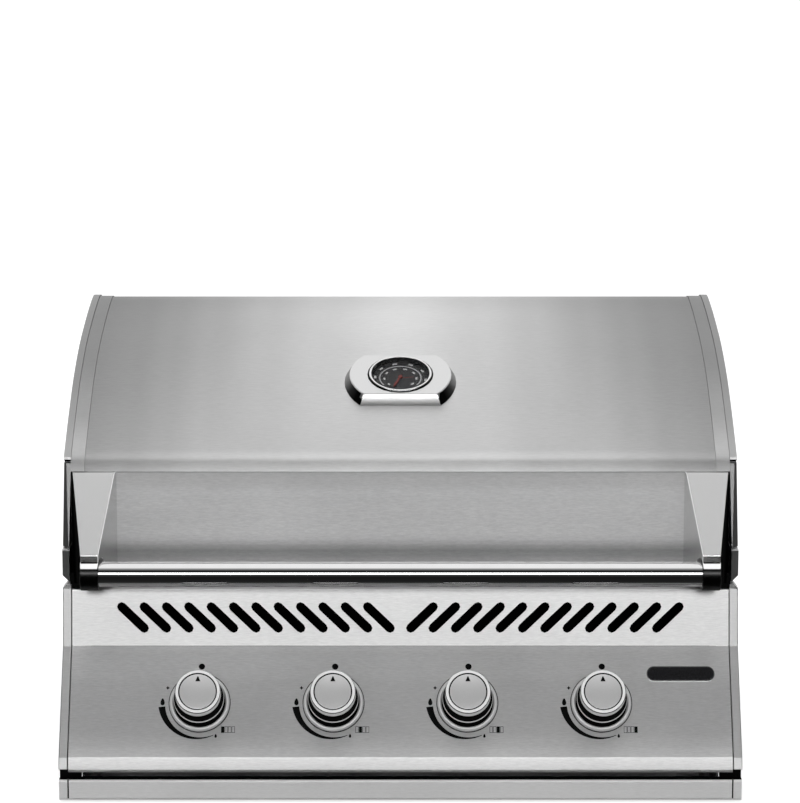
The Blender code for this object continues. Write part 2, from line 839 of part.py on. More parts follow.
def facet_cutter(side, sign, outline):
    """Wedge that takes off the outer front edge, wider towards the foot."""
    foot, top = outline[0], outline[1]
    points = []
    for place, width, deep, lift in (
            (foot, LID_END_WIDTH, FACET_FOOT_DEEP, -CUT_OVERRUN),
            (top, FACET_TOP_WIDTH, FACET_TOP_DEEP, 0)):
        height = place.y + lift
        outer = HALF_WIDTH + CUT_OVERRUN
        points.append((sign * (HALF_WIDTH - width), place.x, height))
        points.append((sign * HALF_WIDTH, place.x + deep, height))
        points.append((sign * outer, place.x + deep, height))
        points.append((sign * outer, place.x - CUT_OVERRUN, height))
        points.append((sign * (HALF_WIDTH - width), place.x - CUT_OVERRUN, height))
    return hull(f"cut_lid_facet_{side}", points)


def make_lid_ends():
    """End castings of the lid: a rim round a thinner web, bored for the hinge pin."""
    outline = lid_end_outline()
    ends = []
    for side, sign in SIDES:
        end = side_plate(f"lid_end_{side}", outline, HALF_WIDTH - LID_END_WIDTH, HALF_WIDTH,
                         sign, "cast grey")
        near = HALF_WIDTH - LID_END_WIDTH - CUT_OVERRUN
        far = HALF_WIDTH - LID_END_WIDTH + LID_END_POCKET_DEEP
        cut(end, side_plate(f"cut_lid_pocket_{side}", pocket_outline(), near, far, sign))
        cut(end, facet_cutter(side, sign, outline))
        join(end, side_plate(f"join_hinge_lug_{side}", hinge_lug_outline(),
                             HALF_WIDTH - LID_END_WIDTH + SEAT_GAP, HALF_WIDTH - SEAT_GAP,
                             sign))
        bore = HINGE_PIN_RADIUS + SEAT_GAP
        low = (sign * near, HINGE_DEPTH, HINGE_HEIGHT)
        high = (sign * (HALF_WIDTH + CUT_OVERRUN), HINGE_DEPTH, HINGE_HEIGHT)
        cut(end, rod(f"cut_lid_pin_{side}", low, high, bore, TURN_STEPS // 2))
        ends.append(end)
    return ends


def hinge_lug_outline():
    """Round-footed lug inside a lid end casting that keeps metal round the pin's bore."""
    pin = Vector((HINGE_DEPTH, HINGE_HEIGHT))
    foot = arc(pin, HINGE_EAR_RADIUS, -math.pi, 0, TURN_STEPS // 4)
    top = HEIGHT - LID_BACK_RADIUS
    return foot + [Vector((foot[-1].x, top)), Vector((foot[0].x, top))]


def pocket_outline():
    """Hollow behind a lid end casting: above the parting line and clear of the hinge boss."""
    floor = LID_PARTING + LID_END_POCKET_RIM
    front = LID_FOLD_DEPTH + LID_END_NOTCH_DEEP * 2
    back = HINGE_DEPTH - HINGE_EAR_RADIUS * 2
    top = lid_outline(LID_END_POCKET_RIM)
    roof = [point for point in top if front < point.x < back and point.y > LID_FOLD_HEIGHT]
    return [Vector((roof[0].x, floor)), *roof, Vector((roof[-1].x, floor))]


def make_brackets():
    """Wedges that carry the handle, tapering forward from the lid panel to the nose."""
    base_depth = LID_PANEL_DEPTH - SEAT_GAP
    top_height = fold_underside()
    axis = Vector((HANDLE_DEPTH, HANDLE_HEIGHT))
    saddle = arc(axis, HANDLE_END_RADIUS + SEAT_GAP, SADDLE_START, SADDLE_END, SADDLE_STEPS)
    outline = [
        Vector((base_depth, top_height)),
        Vector((BRACKET_TOP_DEPTH, top_height)),
        Vector((BRACKET_NOSE_DEPTH, BRACKET_NOSE_HEIGHT)),
        *saddle,
        Vector((BRACKET_FOOT_DEPTH, BRACKET_FOOT_HEIGHT)),
        Vector((base_depth, BRACKET_FOOT_HEIGHT)),
    ]
    half = BRACKET_BASE_WIDTH / 2
    nose_share = BRACKET_NOSE_WIDTH / BRACKET_BASE_WIDTH
    brackets = []
    for side, sign in SIDES:
        bracket = side_plate(f"handle_bracket_{side}", outline, BRACKET_CENTRE - half,
                             BRACKET_CENTRE + half, sign, "brushed steel")
        for vertex in bracket.data.vertices:
            back = (vertex.co.x - BRACKET_NOSE_DEPTH) / (base_depth - BRACKET_NOSE_DEPTH)
            vertex.co.z *= nose_share + (1 - nose_share) * back
        round_edges(bracket, BRACKET_BEVEL)
        brackets.append(bracket)
    return brackets


def make_handle():
    """Round bar between its two end blocks."""
    nose_half = BRACKET_NOSE_WIDTH / 2
    inner = BRACKET_CENTRE - nose_half
    reach = inner - SEAT_GAP
    pieces = [rod("handle_tube", (-reach, HANDLE_DEPTH, HANDLE_HEIGHT),
                  (reach, HANDLE_DEPTH, HANDLE_HEIGHT), HANDLE_RADIUS, HANDLE_SIDES,
                  "polished steel")]
    for side, sign in SIDES:
        block = rod(f"handle_end_{side}", (sign * inner, HANDLE_DEPTH, HANDLE_HEIGHT),
                    (sign * (inner + BRACKET_NOSE_WIDTH), HANDLE_DEPTH, HANDLE_HEIGHT),
                    HANDLE_END_RADIUS, HANDLE_SIDES, "polished steel")
        round_edges(block, HANDLE_END_BEVEL)
        pieces.append(block)
    return pieces


def gauge_place():
    """Where the gauge sits on the lid skin, and the slope there."""
    curve = lid_outline(SKIN_INSET)
    target = LID_FOLD_DEPTH + GAUGE_SHARE * (CROWN_DEPTH - LID_FOLD_DEPTH)
    for low, high in zip(curve, curve[1:]):
        if low.x <= target < high.x:
            share = (target - low.x) / (high.x - low.x)
            slope = math.atan2(high.y - low.y, high.x - low.x)
            return low.lerp(high, share), slope


def gauge_outline(scale):
    """Round plate cut flat at the front and the back, drawn in the gauge's own plane."""
    radius = GAUGE_TOP_RADIUS * scale
    corner = math.asin(GAUGE_FLAT / GAUGE_TOP_RADIUS)
    centre = Vector((0, 0))
    right = arc(centre, radius, -corner, corner, GAUGE_SIDE_STEPS)
    left = arc(centre, radius, math.pi - corner, math.pi + corner, GAUGE_SIDE_STEPS)
    return right + left


def make_gauge_plate():
    """Drafted plate that rests on the curved skin and holds the gauge in a pocket."""
    drafted = GAUGE_DRAFT_SHARE ** ((GAUGE_HEIGHT + GAUGE_ROOT) / GAUGE_HEIGHT)

    def build(shape):
        lower, upper = [
            [shape.verts.new((point.x, point.y, height)) for point in gauge_outline(scale)]
            for scale, height in ((drafted, -GAUGE_ROOT), (1, GAUGE_HEIGHT))
        ]
        shape.faces.new(lower[::-1])
        shape.faces.new(upper)
        for i in range(len(lower)):
            shape.faces.new((lower[i - 1], lower[i], upper[i], upper[i - 1]))

    plate = add_object("gauge_plate", mesh_from("gauge_plate", build), "brushed steel")
    smooth(plate)
    round_edges(plate, GAUGE_EDGE)
    return plate


def make_gauge_case():
    """Rim, cup and probe of the gauge in one turned piece."""
    foot = GAUGE_POCKET_FLOOR + SEAT_GAP
    return turned("gauge_case", [
        (0, GAUGE_CUP_FLOOR),
        (GAUGE_DIAL_RADIUS, GAUGE_CUP_FLOOR),
        (GAUGE_DIAL_RADIUS, GAUGE_RIM_TOP - GAUGE_RIM_CHAMFER),
        (GAUGE_DIAL_RADIUS + GAUGE_RIM_CHAMFER, GAUGE_RIM_TOP),
        (GAUGE_RIM_RADIUS - GAUGE_RIM_CHAMFER, GAUGE_RIM_TOP),
        (GAUGE_RIM_RADIUS, GAUGE_RIM_TOP - GAUGE_RIM_CHAMFER),
        (GAUGE_RIM_RADIUS, foot),
        (GAUGE_PROBE_RADIUS, foot),
        (GAUGE_PROBE_RADIUS, -GAUGE_PROBE_LENGTH),
        (0, -GAUGE_PROBE_LENGTH),
    ], "polished steel")


def disc(name, radius, foot, thickness, finish):
    """Add a round flat plate on the Z axis."""
    top = foot + thickness
    return turned(name, [(0, top), (radius, top), (radius, foot), (0, foot)], finish)


def make_needle():
    """Pointer with its hub, turned to the cold end of the scale."""
    half = NEEDLE_WIDTH / 2
    root = NEEDLE_ROOT_WIDTH / 2
    widest = NEEDLE_LENGTH * NEEDLE_WIDEST_SHARE
    blade = [(-root, -NEEDLE_TAIL), (root, -NEEDLE_TAIL), (half, widest),
             (0, NEEDLE_LENGTH), (-half, widest)]
    needle = flat_outline("gauge_needle", [blade], NEEDLE_THICK, "needle red")
    foot = GAUGE_CUP_FLOOR + SEAT_GAP + GAUGE_DIAL_THICK + SEAT_GAP
    middle = foot + NEEDLE_LIFT
    hub = disc("join_needle_hub", NEEDLE_HUB_RADIUS, foot, NEEDLE_LIFT + NEEDLE_THICK, None)
    needle.location = (0, 0, middle)
    join(needle, hub)
    needle.rotation_euler = (0, 0, -NEEDLE_REST)
    return needle, hub


def lid_envelope():
    """Block that fills the lid up to the seat of what stands on its skin."""
    curve = lid_outline(SKIN_INSET - SEAT_GAP)
    return side_plate("cut_lid_envelope", curve, -LID_SKIN_HALF, LID_SKIN_HALF, 1)


def make_gauge(lid_skin):
    """Temperature gauge square to the lid: plate, case, dial, needle and lens."""
    place, slope = gauge_place()
    frame = add_frame("gauge_frame", place, slope)
    plate = make_gauge_plate()
    pocket = turned("cut_gauge_pocket", [
        (0, GAUGE_HEIGHT + CUT_OVERRUN),
        (GAUGE_POCKET_RADIUS, GAUGE_HEIGHT + CUT_OVERRUN),
        (GAUGE_POCKET_RADIUS, GAUGE_POCKET_FLOOR),
        (GAUGE_HOLE_RADIUS, GAUGE_POCKET_FLOOR),
        (GAUGE_HOLE_RADIUS, -GAUGE_ROOT * 2),
        (0, -GAUGE_ROOT * 2),
    ])
    cut(plate, lid_envelope(), pocket)
    cut(lid_skin, pocket)
    case = make_gauge_case()
    dial_foot = GAUGE_CUP_FLOOR + SEAT_GAP
    dial = disc("gauge_dial", GAUGE_DIAL_RADIUS - SEAT_GAP, dial_foot, GAUGE_DIAL_THICK,
                "dial black")
    lens = disc("gauge_lens", GAUGE_DIAL_RADIUS - SEAT_GAP, GAUGE_LENS_TOP - GAUGE_LENS_THICK,
                GAUGE_LENS_THICK, "glass")
    needle, hub = make_needle()
    mount(frame, plate, pocket, case, dial, lens, needle, hub)
    return frame


def make_side_walls():
    """Upright walls of the firebox, flanged in at the foot and out at the top."""
    inset = PANEL_SHEET + SEAT_GAP
    inner = offset_path([LIP_TOP, PANEL_TOP, BAND_TOP], inset)
    share = (WALL_FRONT_FOOT - inner[0].x) / (inner[1].x - inner[0].x)
    start = inner[0].lerp(inner[1], share)
    under_band = BAND_TOP.y - inset
    top_of_band = inner[1].lerp(inner[2], (under_band - inner[1].y) / (inner[2].y - inner[1].y))
    back = BACK_WALL_DEPTH
    outline = [
        Vector((start.x, 0)), start, inner[1], top_of_band,
        Vector((FRONT_WALL_DEPTH, under_band)), Vector((FRONT_WALL_DEPTH, WALL_TOP)),
        Vector((back, WALL_TOP)), Vector((back, 0)),
    ]
    walls = []
    for side, sign in SIDES:
        wall = side_plate(f"side_wall_{side}", outline, INNER_HALF, BOX_HALF, sign,
                          "plain steel")
        foot = span_box(
            f"join_wall_foot_{side}",
            (INNER_HALF - WALL_FLANGE, start.x, 0),
            (INNER_HALF + BOX_SHEET / 2, INNER_BACK - SEAT_GAP, BOX_SHEET))
        top = span_box(
            f"join_wall_top_{side}",
            (BOX_HALF - BOX_SHEET / 2, FRONT_WALL_DEPTH, WALL_TOP - BOX_SHEET),
            (FLANGE_HALF, RAIL_BACK - BOX_SHEET, WALL_TOP))
        for flange in (foot, top):
            flange.location.x *= sign
        join(wall, foot, top)
        walls.append(wall)
    return walls


def wall_outline(face, back, foot, top, ledges):
    """Side outline of a wall from its inner face, with a ledge sheet at each height."""
    inward = 1 if back < face else -1
    outline = [Vector((back, foot)), Vector((back, top)), Vector((face, top))]
    for height, deep in ledges:
        tip = face + inward * deep
        outline += [
            Vector((face, height)), Vector((tip, height)),
            Vector((tip, height - BOX_SHEET)), Vector((face, height - BOX_SHEET)),
        ]
    outline.append(Vector((face, foot)))
    return outline


def across(name, outline, half_width, finish):
    """Add a bar of constant section from wall to wall."""
    return side_plate(name, outline, -half_width, half_width, 1, finish)


def make_front_wall():
    """Front of the firebox with ledges for the grates and heat plates, holed for burners."""
    ledges = ((GRATE_LEDGE, LEDGE_DEEP), (PLATE_LEDGE, LEDGE_DEEP))
    outline = wall_outline(INNER_FRONT, FRONT_WALL_DEPTH, FRONT_WALL_FOOT, FRONT_WALL_TOP,
                           ledges)
    wall = across("front_wall", outline, INNER_HALF - SEAT_GAP, "plain steel")
    radius = BURNER_RADIUS + BURNER_HOLE_GAP
    height = burner_inlet().y
    for number, x in enumerate(knob_places(), 1):
        cut(wall, rod(f"cut_burner_hole_{number}",
                      (x, FRONT_WALL_DEPTH - CUT_OVERRUN, height),
                      (x, INNER_FRONT + CUT_OVERRUN, height), radius, TURN_STEPS // 2))
    return wall


def make_back_wall():
    """Back of the firebox with ledges for the grates, heat plates and burners."""
    burner_seat = BURNER_HEIGHT - BURNER_RADIUS - SEAT_GAP
    ledges = ((GRATE_LEDGE, LEDGE_DEEP), (PLATE_LEDGE, LEDGE_DEEP),
              (burner_seat, BURNER_LEDGE_DEEP))
    outline = wall_outline(INNER_BACK, BACK_WALL_DEPTH, 0, BACK_WALL_TOP, ledges)
    return across("back_wall", outline, INNER_HALF - SEAT_GAP, "plain steel")


def make_counter_rails():
    """Side rails that rest on the counter, each with the ear that carries a hinge pin."""
    outer_wall = [
        Vector((RAIL_FRONT, RAIL_UNDERSIDE)), Vector((RAIL_BACK, RAIL_UNDERSIDE)),
        Vector((RAIL_BACK, RAIL_TOP)), Vector((RAIL_FRONT, RAIL_TOP)),
    ]
    near = HALF_WIDTH - LID_END_WIDTH
    ear_outer = LID_INNER_HALF - HINGE_EAR_GAP
    ear_inner = ear_outer - HINGE_EAR_WIDTH
    pin = Vector((HINGE_DEPTH, HINGE_HEIGHT))
    ear_outline = arc(pin, HINGE_EAR_RADIUS, 0, math.pi, TURN_STEPS // 4) + [
        Vector((HINGE_DEPTH - HINGE_EAR_RADIUS, RAIL_UNDERSIDE + RAIL_FLOOR / 2)),
        Vector((HINGE_DEPTH + HINGE_EAR_RADIUS, RAIL_UNDERSIDE + RAIL_FLOOR / 2)),
    ]
    for side, sign in SIDES:
        rail = side_plate(f"counter_rail_{side}", outer_wall, near, HALF_WIDTH, sign,
                          "cast grey")
        floor = span_box(
            f"join_rail_floor_{side}",
            (BOX_HALF + SEAT_GAP, INNER_FRONT, RAIL_UNDERSIDE),
            (near + LID_END_WIDTH / 2, HINGE_DEPTH + HINGE_EAR_RADIUS,
             RAIL_UNDERSIDE + RAIL_FLOOR))
        floor.location.x *= sign
        back_cut = span_box(
            f"cut_rail_back_{side}",
            (near - SEAT_GAP, RAIL_BACK, RAIL_UNDERSIDE - CUT_OVERRUN),
            (HALF_WIDTH + CUT_OVERRUN, HINGE_DEPTH + HINGE_EAR_RADIUS + CUT_OVERRUN,
             RAIL_TOP + CUT_OVERRUN))
        back_cut.location.x *= sign
        ear = side_plate(f"join_hinge_ear_{side}", ear_outline, ear_inner, ear_outer, sign)
        bore = rod(f"cut_ear_bore_{side}", (sign * (ear_inner - CUT_OVERRUN), pin.x, pin.y),
                   (sign * (ear_outer + CUT_OVERRUN), pin.x, pin.y),
                   HINGE_PIN_RADIUS + SEAT_GAP, TURN_STEPS // 2)
        low = RAIL_UNDERSIDE - CUT_OVERRUN
        high = RAIL_UNDERSIDE + RAIL_CHAMFER
        beyond = HALF_WIDTH + CUT_OVERRUN
        chamfer = hull(f"cut_rail_chamfer_{side}", [
            (sign * x, depth, height)
            for depth in (RAIL_FRONT - CUT_OVERRUN, RAIL_BACK + CUT_OVERRUN)
            for x, height in ((HALF_WIDTH, high), (HALF_WIDTH + low - high, low),
                              (beyond, low), (beyond, high))
        ])
        join(rail, floor)
        cut(rail, back_cut)
        join(rail, ear)
        cut(rail, bore, chamfer)


def make_hinge_pins():
    """Pins through the ears and the lid ends, each with a low head behind its ear."""
    seat = LID_INNER_HALF - HINGE_EAR_GAP - HINGE_EAR_WIDTH - SEAT_GAP
    length = HALF_WIDTH - seat
    for side, sign in SIDES:
        pin = turned(f"hinge_pin_{side}", [
            (0, length),
            (HINGE_PIN_RADIUS, length),
            (HINGE_PIN_RADIUS, 0),
            (HINGE_HEAD_RADIUS, 0),
            (HINGE_HEAD_RADIUS, -HINGE_HEAD_HEIGHT),
            (0, -HINGE_HEAD_HEIGHT),
        ], "polished steel", steps=TURN_STEPS // 2)
        pin.location = (sign * seat, FRONT_Y + HINGE_DEPTH, HINGE_HEIGHT)
        pin.rotation_euler = (0, sign * math.pi / 2, 0)


def burner_inlet():
    """Place of the valve outlet that faces a burner's mouth."""
    start = on_panel(KNOB_UP_PANEL, -ORIFICE_START)
    return Vector((ORIFICE_END_DEPTH, start.y))


def make_valve(number, x, frame):
    """Valve body bored for its stem, saddled on the manifold, with its outlet to the rear."""
    height = VALVE_FOOT - VALVE_TOP
    valve = box(f"valve_body_{number}", (VALVE_WIDTH, VALVE_WIDTH, height),
                (0, 0, -(VALVE_TOP + VALVE_FOOT) / 2), "brass")
    round_edges(valve, VALVE_BEVEL)
    start = on_panel(KNOB_UP_PANEL, -ORIFICE_START)
    outlet = rod(f"join_outlet_{number}", world_point(x, start),
                 world_point(x, burner_inlet()), ORIFICE_RADIUS, TURN_STEPS // 4)
    bore = turned(f"cut_valve_bore_{number}", [
        (0, CUT_OVERRUN - VALVE_TOP),
        (STEM_RADIUS + SEAT_GAP, CUT_OVERRUN - VALVE_TOP),
        (STEM_RADIUS + SEAT_GAP, SEAT_GAP - PLUG_TOP),
        (PLUG_RADIUS + SEAT_GAP, SEAT_GAP - PLUG_TOP),
        (PLUG_RADIUS + SEAT_GAP, -PLUG_FOOT - SEAT_GAP),
        (0, -PLUG_FOOT - SEAT_GAP),
    ], steps=TURN_STEPS // 2)
    reach = VALVE_WIDTH / 2 + CUT_OVERRUN
    axis = on_panel(KNOB_UP_PANEL - MANIFOLD_BELOW, -MANIFOLD_BEHIND)
    saddle = rod(f"cut_saddle_{number}", (x - reach, axis.x, axis.y),
                 (x + reach, axis.x, axis.y), MANIFOLD_RADIUS + SEAT_GAP, TURN_STEPS // 2)
    join(valve, outlet)
    cut(valve, bore, saddle)
    mount(frame, valve, bore)


def make_stem(number, frame):
    """Valve plug and stem in one turned piece."""
    stem = turned(f"valve_stem_{number}", [
        (0, STEM_TOP), (STEM_RADIUS, STEM_TOP), (STEM_RADIUS, -PLUG_TOP),
        (PLUG_RADIUS, -PLUG_TOP), (PLUG_RADIUS, -PLUG_FOOT), (0, -PLUG_FOOT),
    ], "brass", steps=TURN_STEPS // 2)
    mount(frame, stem)


def make_knob(number, frame):
    """Turned knob: domed face, grooved ring, waist and flange."""
    mount(frame, turned(f"knob_{number}", knob_profile(), "polished steel"))


def make_bezel(number, frame):
    """Rounded ring that frames the knob on the panel."""
    bezel = turned(f"knob_bezel_{number}", [
        (BEZEL_BORE + BEZEL_EDGE, BEZEL_HEIGHT),
        (BEZEL_RADIUS - BEZEL_EDGE, BEZEL_HEIGHT - BEZEL_EDGE / 2),
        (BEZEL_RADIUS, BEZEL_HEIGHT - BEZEL_EDGE * 2),
        (BEZEL_RADIUS, SEAT_GAP),
        (BEZEL_BORE, SEAT_GAP),
        (BEZEL_BORE, BEZEL_HEIGHT - BEZEL_EDGE),
    ], "polished steel", ring=True)
    mount(frame, bezel)


def make_controls():
    """Each knob with its bezel, stem and valve, on a frame square to the panel."""
    for number, x in enumerate(knob_places(), 1):
        frame = add_frame(f"knob_axis_{number}", on_panel(KNOB_UP_PANEL, 0), PANEL_ANGLE)
        frame.location.x = x
        make_bezel(number, frame)
        make_knob(number, frame)
        make_stem(number, frame)
        make_valve(number, x, frame)


def make_manifold(side_wall):
    """Gas pipe along the valves with its inlet nut outside the right wall."""
    axis = on_panel(KNOB_UP_PANEL - MANIFOLD_BELOW, -MANIFOLD_BEHIND)
    pipe = rod("gas_manifold", (-MANIFOLD_START, axis.x, axis.y), (MANIFOLD_END, axis.x, axis.y),
               MANIFOLD_RADIUS, TURN_STEPS // 2, "plain steel")
    nut = rod("join_inlet_nut", (MANIFOLD_END - INLET_LENGTH, axis.x, axis.y),
              (MANIFOLD_END, axis.x, axis.y), INLET_RADIUS, INLET_SIDES)
    join(pipe, nut)
    hole = rod("cut_manifold_hole", (INNER_HALF - CUT_OVERRUN, axis.x, axis.y),
               (BOX_HALF + CUT_OVERRUN / 2, axis.x, axis.y), MANIFOLD_RADIUS + SEAT_GAP,
               TURN_STEPS)
    cut(side_wall, hole)


def make_burners():
    """Burner tubes rising from the valves and lying along the firebox."""
    inlet = burner_inlet() + Vector((SEAT_GAP, 0))
    run = BACK_WALL_DEPTH - BURNER_BACK_GAP - inlet.x
    rise = BURNER_HEIGHT - inlet.y
    for number, x in enumerate(knob_places(), 1):
        points = [(x, inlet.x + along * run, inlet.y + up * rise)
                  for along, up in BURNER_RISE_SHARES]
        tube(f"burner_{number}", points, BURNER_RADIUS, "plain steel")


def make_heat_plates():
    """Ridged plates over the burners, resting on the ledges of both walls."""
    length = INNER_BACK - INNER_FRONT - WALL_CLEARANCE * 2
    foot = PLATE_LEDGE + SEAT_GAP
    half = PLATE_WIDTH / 2
    ridge = PLATE_RIDGE_WIDTH / 2
    section = [Vector((-half, foot)), Vector((-ridge, foot + PLATE_RISE)),
               Vector((ridge, foot + PLATE_RISE)), Vector((half, foot))]
    for number, x in enumerate(knob_places(), 1):
        plate = strip(f"heat_plate_{number}", section, -length / 2, length / 2, BOX_SHEET,
                      "plain steel")
        plate.rotation_euler = (0, 0, -math.pi / 2)
        plate.location = (x, FRONT_Y + (INNER_FRONT + INNER_BACK) / 2, BOX_SHEET)


def make_grates():
    """Rod grates side by side, each with cross bars under its rods."""
    total = (INNER_HALF - WALL_CLEARANCE) * 2
    width = (total - GRATE_GAP * (GRATE_COUNT - 1)) / GRATE_COUNT
    front = INNER_FRONT + WALL_CLEARANCE
    back = INNER_BACK - WALL_CLEARANCE
    centre = GRATE_LEDGE + SEAT_GAP + GRATE_ROD_RADIUS
    for number in range(GRATE_COUNT):
        left = -total / 2 + (width + GRATE_GAP) * number
        first = left + GRATE_ROD_RADIUS
        pitch = (width - GRATE_ROD_RADIUS * 2) / (GRATE_RODS - 1)
        rods = [rod(f"join_rod_{number}_{i}", (first + pitch * i, front, centre),
                    (first + pitch * i, back, centre), GRATE_ROD_RADIUS, ROD_SIDES)
                for i in range(GRATE_RODS)]
        bars = []
        for i, share in enumerate(GRATE_BAR_SHARES):
            depth = front + (back - front) * share
            bars.append(span_box(
                f"join_bar_{number}_{i}",
                (left, depth - GRATE_BAR_WIDTH / 2,
                 centre - GRATE_BAR_SINK - GRATE_BAR_HEIGHT),
                (left + width, depth + GRATE_BAR_WIDTH / 2, centre - GRATE_BAR_SINK)))
        merge(f"cooking_grate_{number + 1}", bars, rods, "plain steel")


def merge(name, first, second, finish):
    """Make one welded piece of two sets of bars that cross each other."""
    base = lump(name, first)
    CUTTERS.objects.unlink(base)
    GRILL.objects.link(base)
    base.hide_render = False
    base.display_type = "TEXTURED"
    paint(base, finish)
    join(base, lump("join_" + name, second))
    return base


def lump(name, bars):
    """Put separate bars into one object and remove the bars."""
    bpy.context.view_layer.update()

    def build(shape):
        for bar in bars:
            copy = bar.data.copy()
            copy.transform(bar.matrix_world)
            shape.from_mesh(copy)
            bpy.data.meshes.remove(copy)

    mesh = mesh_from(name, build)
    for bar in bars:
        bpy.data.objects.remove(bar, do_unlink=True)
    return add_object(name, mesh)


def make_warming_rack():
    """Raised rack of rods on four legs that stand on the top flanges of the side walls."""
    foot_x = FLANGE_HALF - RACK_FOOT_INSET
    rods = []
    for i in range(RACK_RODS):
        depth = RACK_FRONT + (RACK_BACK - RACK_FRONT) * i / (RACK_RODS - 1)
        rods.append(rod(f"join_rack_rod_{i}", (-foot_x, depth, RACK_HEIGHT),
                        (foot_x, depth, RACK_HEIGHT), RACK_ROD_RADIUS, ROD_SIDES))
    bars = []
    for side, sign in SIDES:
        bar = span_box(
            f"join_rack_side_{side}",
            (foot_x - RACK_BAR / 2, RACK_FRONT - RACK_BAR, RACK_HEIGHT - RACK_BAR / 2),
            (foot_x + RACK_BAR / 2, RACK_BACK + RACK_BAR, RACK_HEIGHT + RACK_BAR / 2))
        bar.location.x *= sign
        bars.append(bar)
        for i, share in enumerate(RACK_LEG_SHARES):
            depth = RACK_FRONT + (RACK_BACK - RACK_FRONT) * share
            leg = span_box(
                f"join_rack_leg_{side}_{i}",
                (foot_x - RACK_LEG / 2, depth - RACK_LEG / 2, WALL_TOP + SEAT_GAP),
                (foot_x + RACK_LEG / 2, depth + RACK_LEG / 2, RACK_HEIGHT))
            leg.location.x *= sign
            rods.append(leg)
    merge("warming_rack", bars, rods, "plain steel")


def make_drip_tray():
    """Open pan that slides on the foot flanges of the side walls."""
    half = INNER_HALF - TRAY_SIDE_GAP
    front = TRAY_FRONT_DEPTH + TRAY_FRONT_RETURN + SEAT_GAP
    back = INNER_BACK - TRAY_BACK_GAP
    low = BOX_SHEET + SEAT_GAP
    pan = span_box("drip_tray", (-half, front, low), (half, back, low + TRAY_RISE),
                   "plain steel")
    hollow = span_box(
        "cut_tray_hollow",
        (-half + PANEL_SHEET, front + PANEL_SHEET, low + PANEL_SHEET),
        (half - PANEL_SHEET, back - PANEL_SHEET, low + TRAY_RISE + CUT_OVERRUN))
    cut(pan, hollow)
    return pan


def make_tray_front():
    """Front of the drip tray: a folded sheet with a groove near each end."""
    back = TRAY_FRONT_DEPTH + TRAY_FRONT_RETURN
    top = TRAY_FRONT_FOOT + TRAY_FRONT_RISE
    path = fold([
        Vector((back, TRAY_FRONT_FOOT)), Vector((TRAY_FRONT_DEPTH, TRAY_FRONT_FOOT)),
        Vector((TRAY_FRONT_DEPTH, top)), Vector((back, top)),
    ])
    front = sheet("tray_front", path, HALF_WIDTH, TRAY_FRONT_SHEET, "brushed steel")
    for side, sign in SIDES:
        groove = span_box(
            f"cut_tray_groove_{side}",
            (FASCIA_HALF, TRAY_FRONT_DEPTH - CUT_OVERRUN, TRAY_FRONT_FOOT - CUT_OVERRUN),
            (FASCIA_HALF + TRAY_GROOVE, TRAY_FRONT_DEPTH + TRAY_GROOVE_DEEP,
             top + CUT_OVERRUN))
        groove.location.x *= sign
        cut(front, groove)
    return front


def make_lid():
    """Everything that swings on the hinge pins."""
    pivot = add_frame("lid_pivot", Vector((HINGE_DEPTH, HINGE_HEIGHT)), 0)
    skin = make_lid_skin()
    pieces = [skin, make_lid_front_panel(), *make_lid_trims(), *make_lid_ends(),
              *make_brackets(), *make_handle()]
    pieces.append(make_gauge(skin))
    carry(pivot, *pieces)


def make_carcass():
    """Walls and rails that stay put, and the gas pipe that goes through one wall."""
    walls = make_side_walls()
    make_front_wall()
    make_back_wall()
    make_counter_rails()
    make_hinge_pins()
    make_manifold(walls[-1])


def main():
    """Build the whole grill."""
    make_control_panel()
    make_vent_band()
    make_fascia_ends()
    make_lid()
    make_carcass()
    make_controls()
    make_burners()
    make_heat_plates()
    make_grates()
    make_warming_rack()
    make_drip_tray()
    make_tray_front()


main()
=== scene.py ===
"""Finishes, markings and light of a built-in gas grill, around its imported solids."""

import json
import math

import bmesh
import bpy
from mathutils import Matrix, Vector


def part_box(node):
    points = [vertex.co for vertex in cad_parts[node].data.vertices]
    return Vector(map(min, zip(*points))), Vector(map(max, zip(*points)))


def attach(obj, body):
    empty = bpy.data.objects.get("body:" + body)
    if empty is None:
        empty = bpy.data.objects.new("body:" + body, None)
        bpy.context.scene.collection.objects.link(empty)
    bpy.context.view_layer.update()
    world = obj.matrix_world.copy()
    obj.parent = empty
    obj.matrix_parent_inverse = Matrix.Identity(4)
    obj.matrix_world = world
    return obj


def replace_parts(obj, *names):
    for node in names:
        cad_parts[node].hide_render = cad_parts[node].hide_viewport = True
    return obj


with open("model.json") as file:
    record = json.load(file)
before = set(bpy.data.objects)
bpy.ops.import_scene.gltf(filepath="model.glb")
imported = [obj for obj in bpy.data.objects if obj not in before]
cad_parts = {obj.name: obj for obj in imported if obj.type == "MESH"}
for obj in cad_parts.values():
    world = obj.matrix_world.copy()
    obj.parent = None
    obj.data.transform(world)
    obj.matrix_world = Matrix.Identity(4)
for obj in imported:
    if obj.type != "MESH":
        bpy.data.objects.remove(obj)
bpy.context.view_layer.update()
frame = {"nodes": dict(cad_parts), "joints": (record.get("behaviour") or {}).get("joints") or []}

NODES = frame["nodes"]
JOINTS = {joint["name"]: joint for joint in frame["joints"]}

# Photograph's camera
CAMERA_PLACE = (-0.0005, -4.219, 1.1735)
CAMERA_PITCH = math.radians(80)
CAMERA_LENS = 152.4
VIEW_END = 80

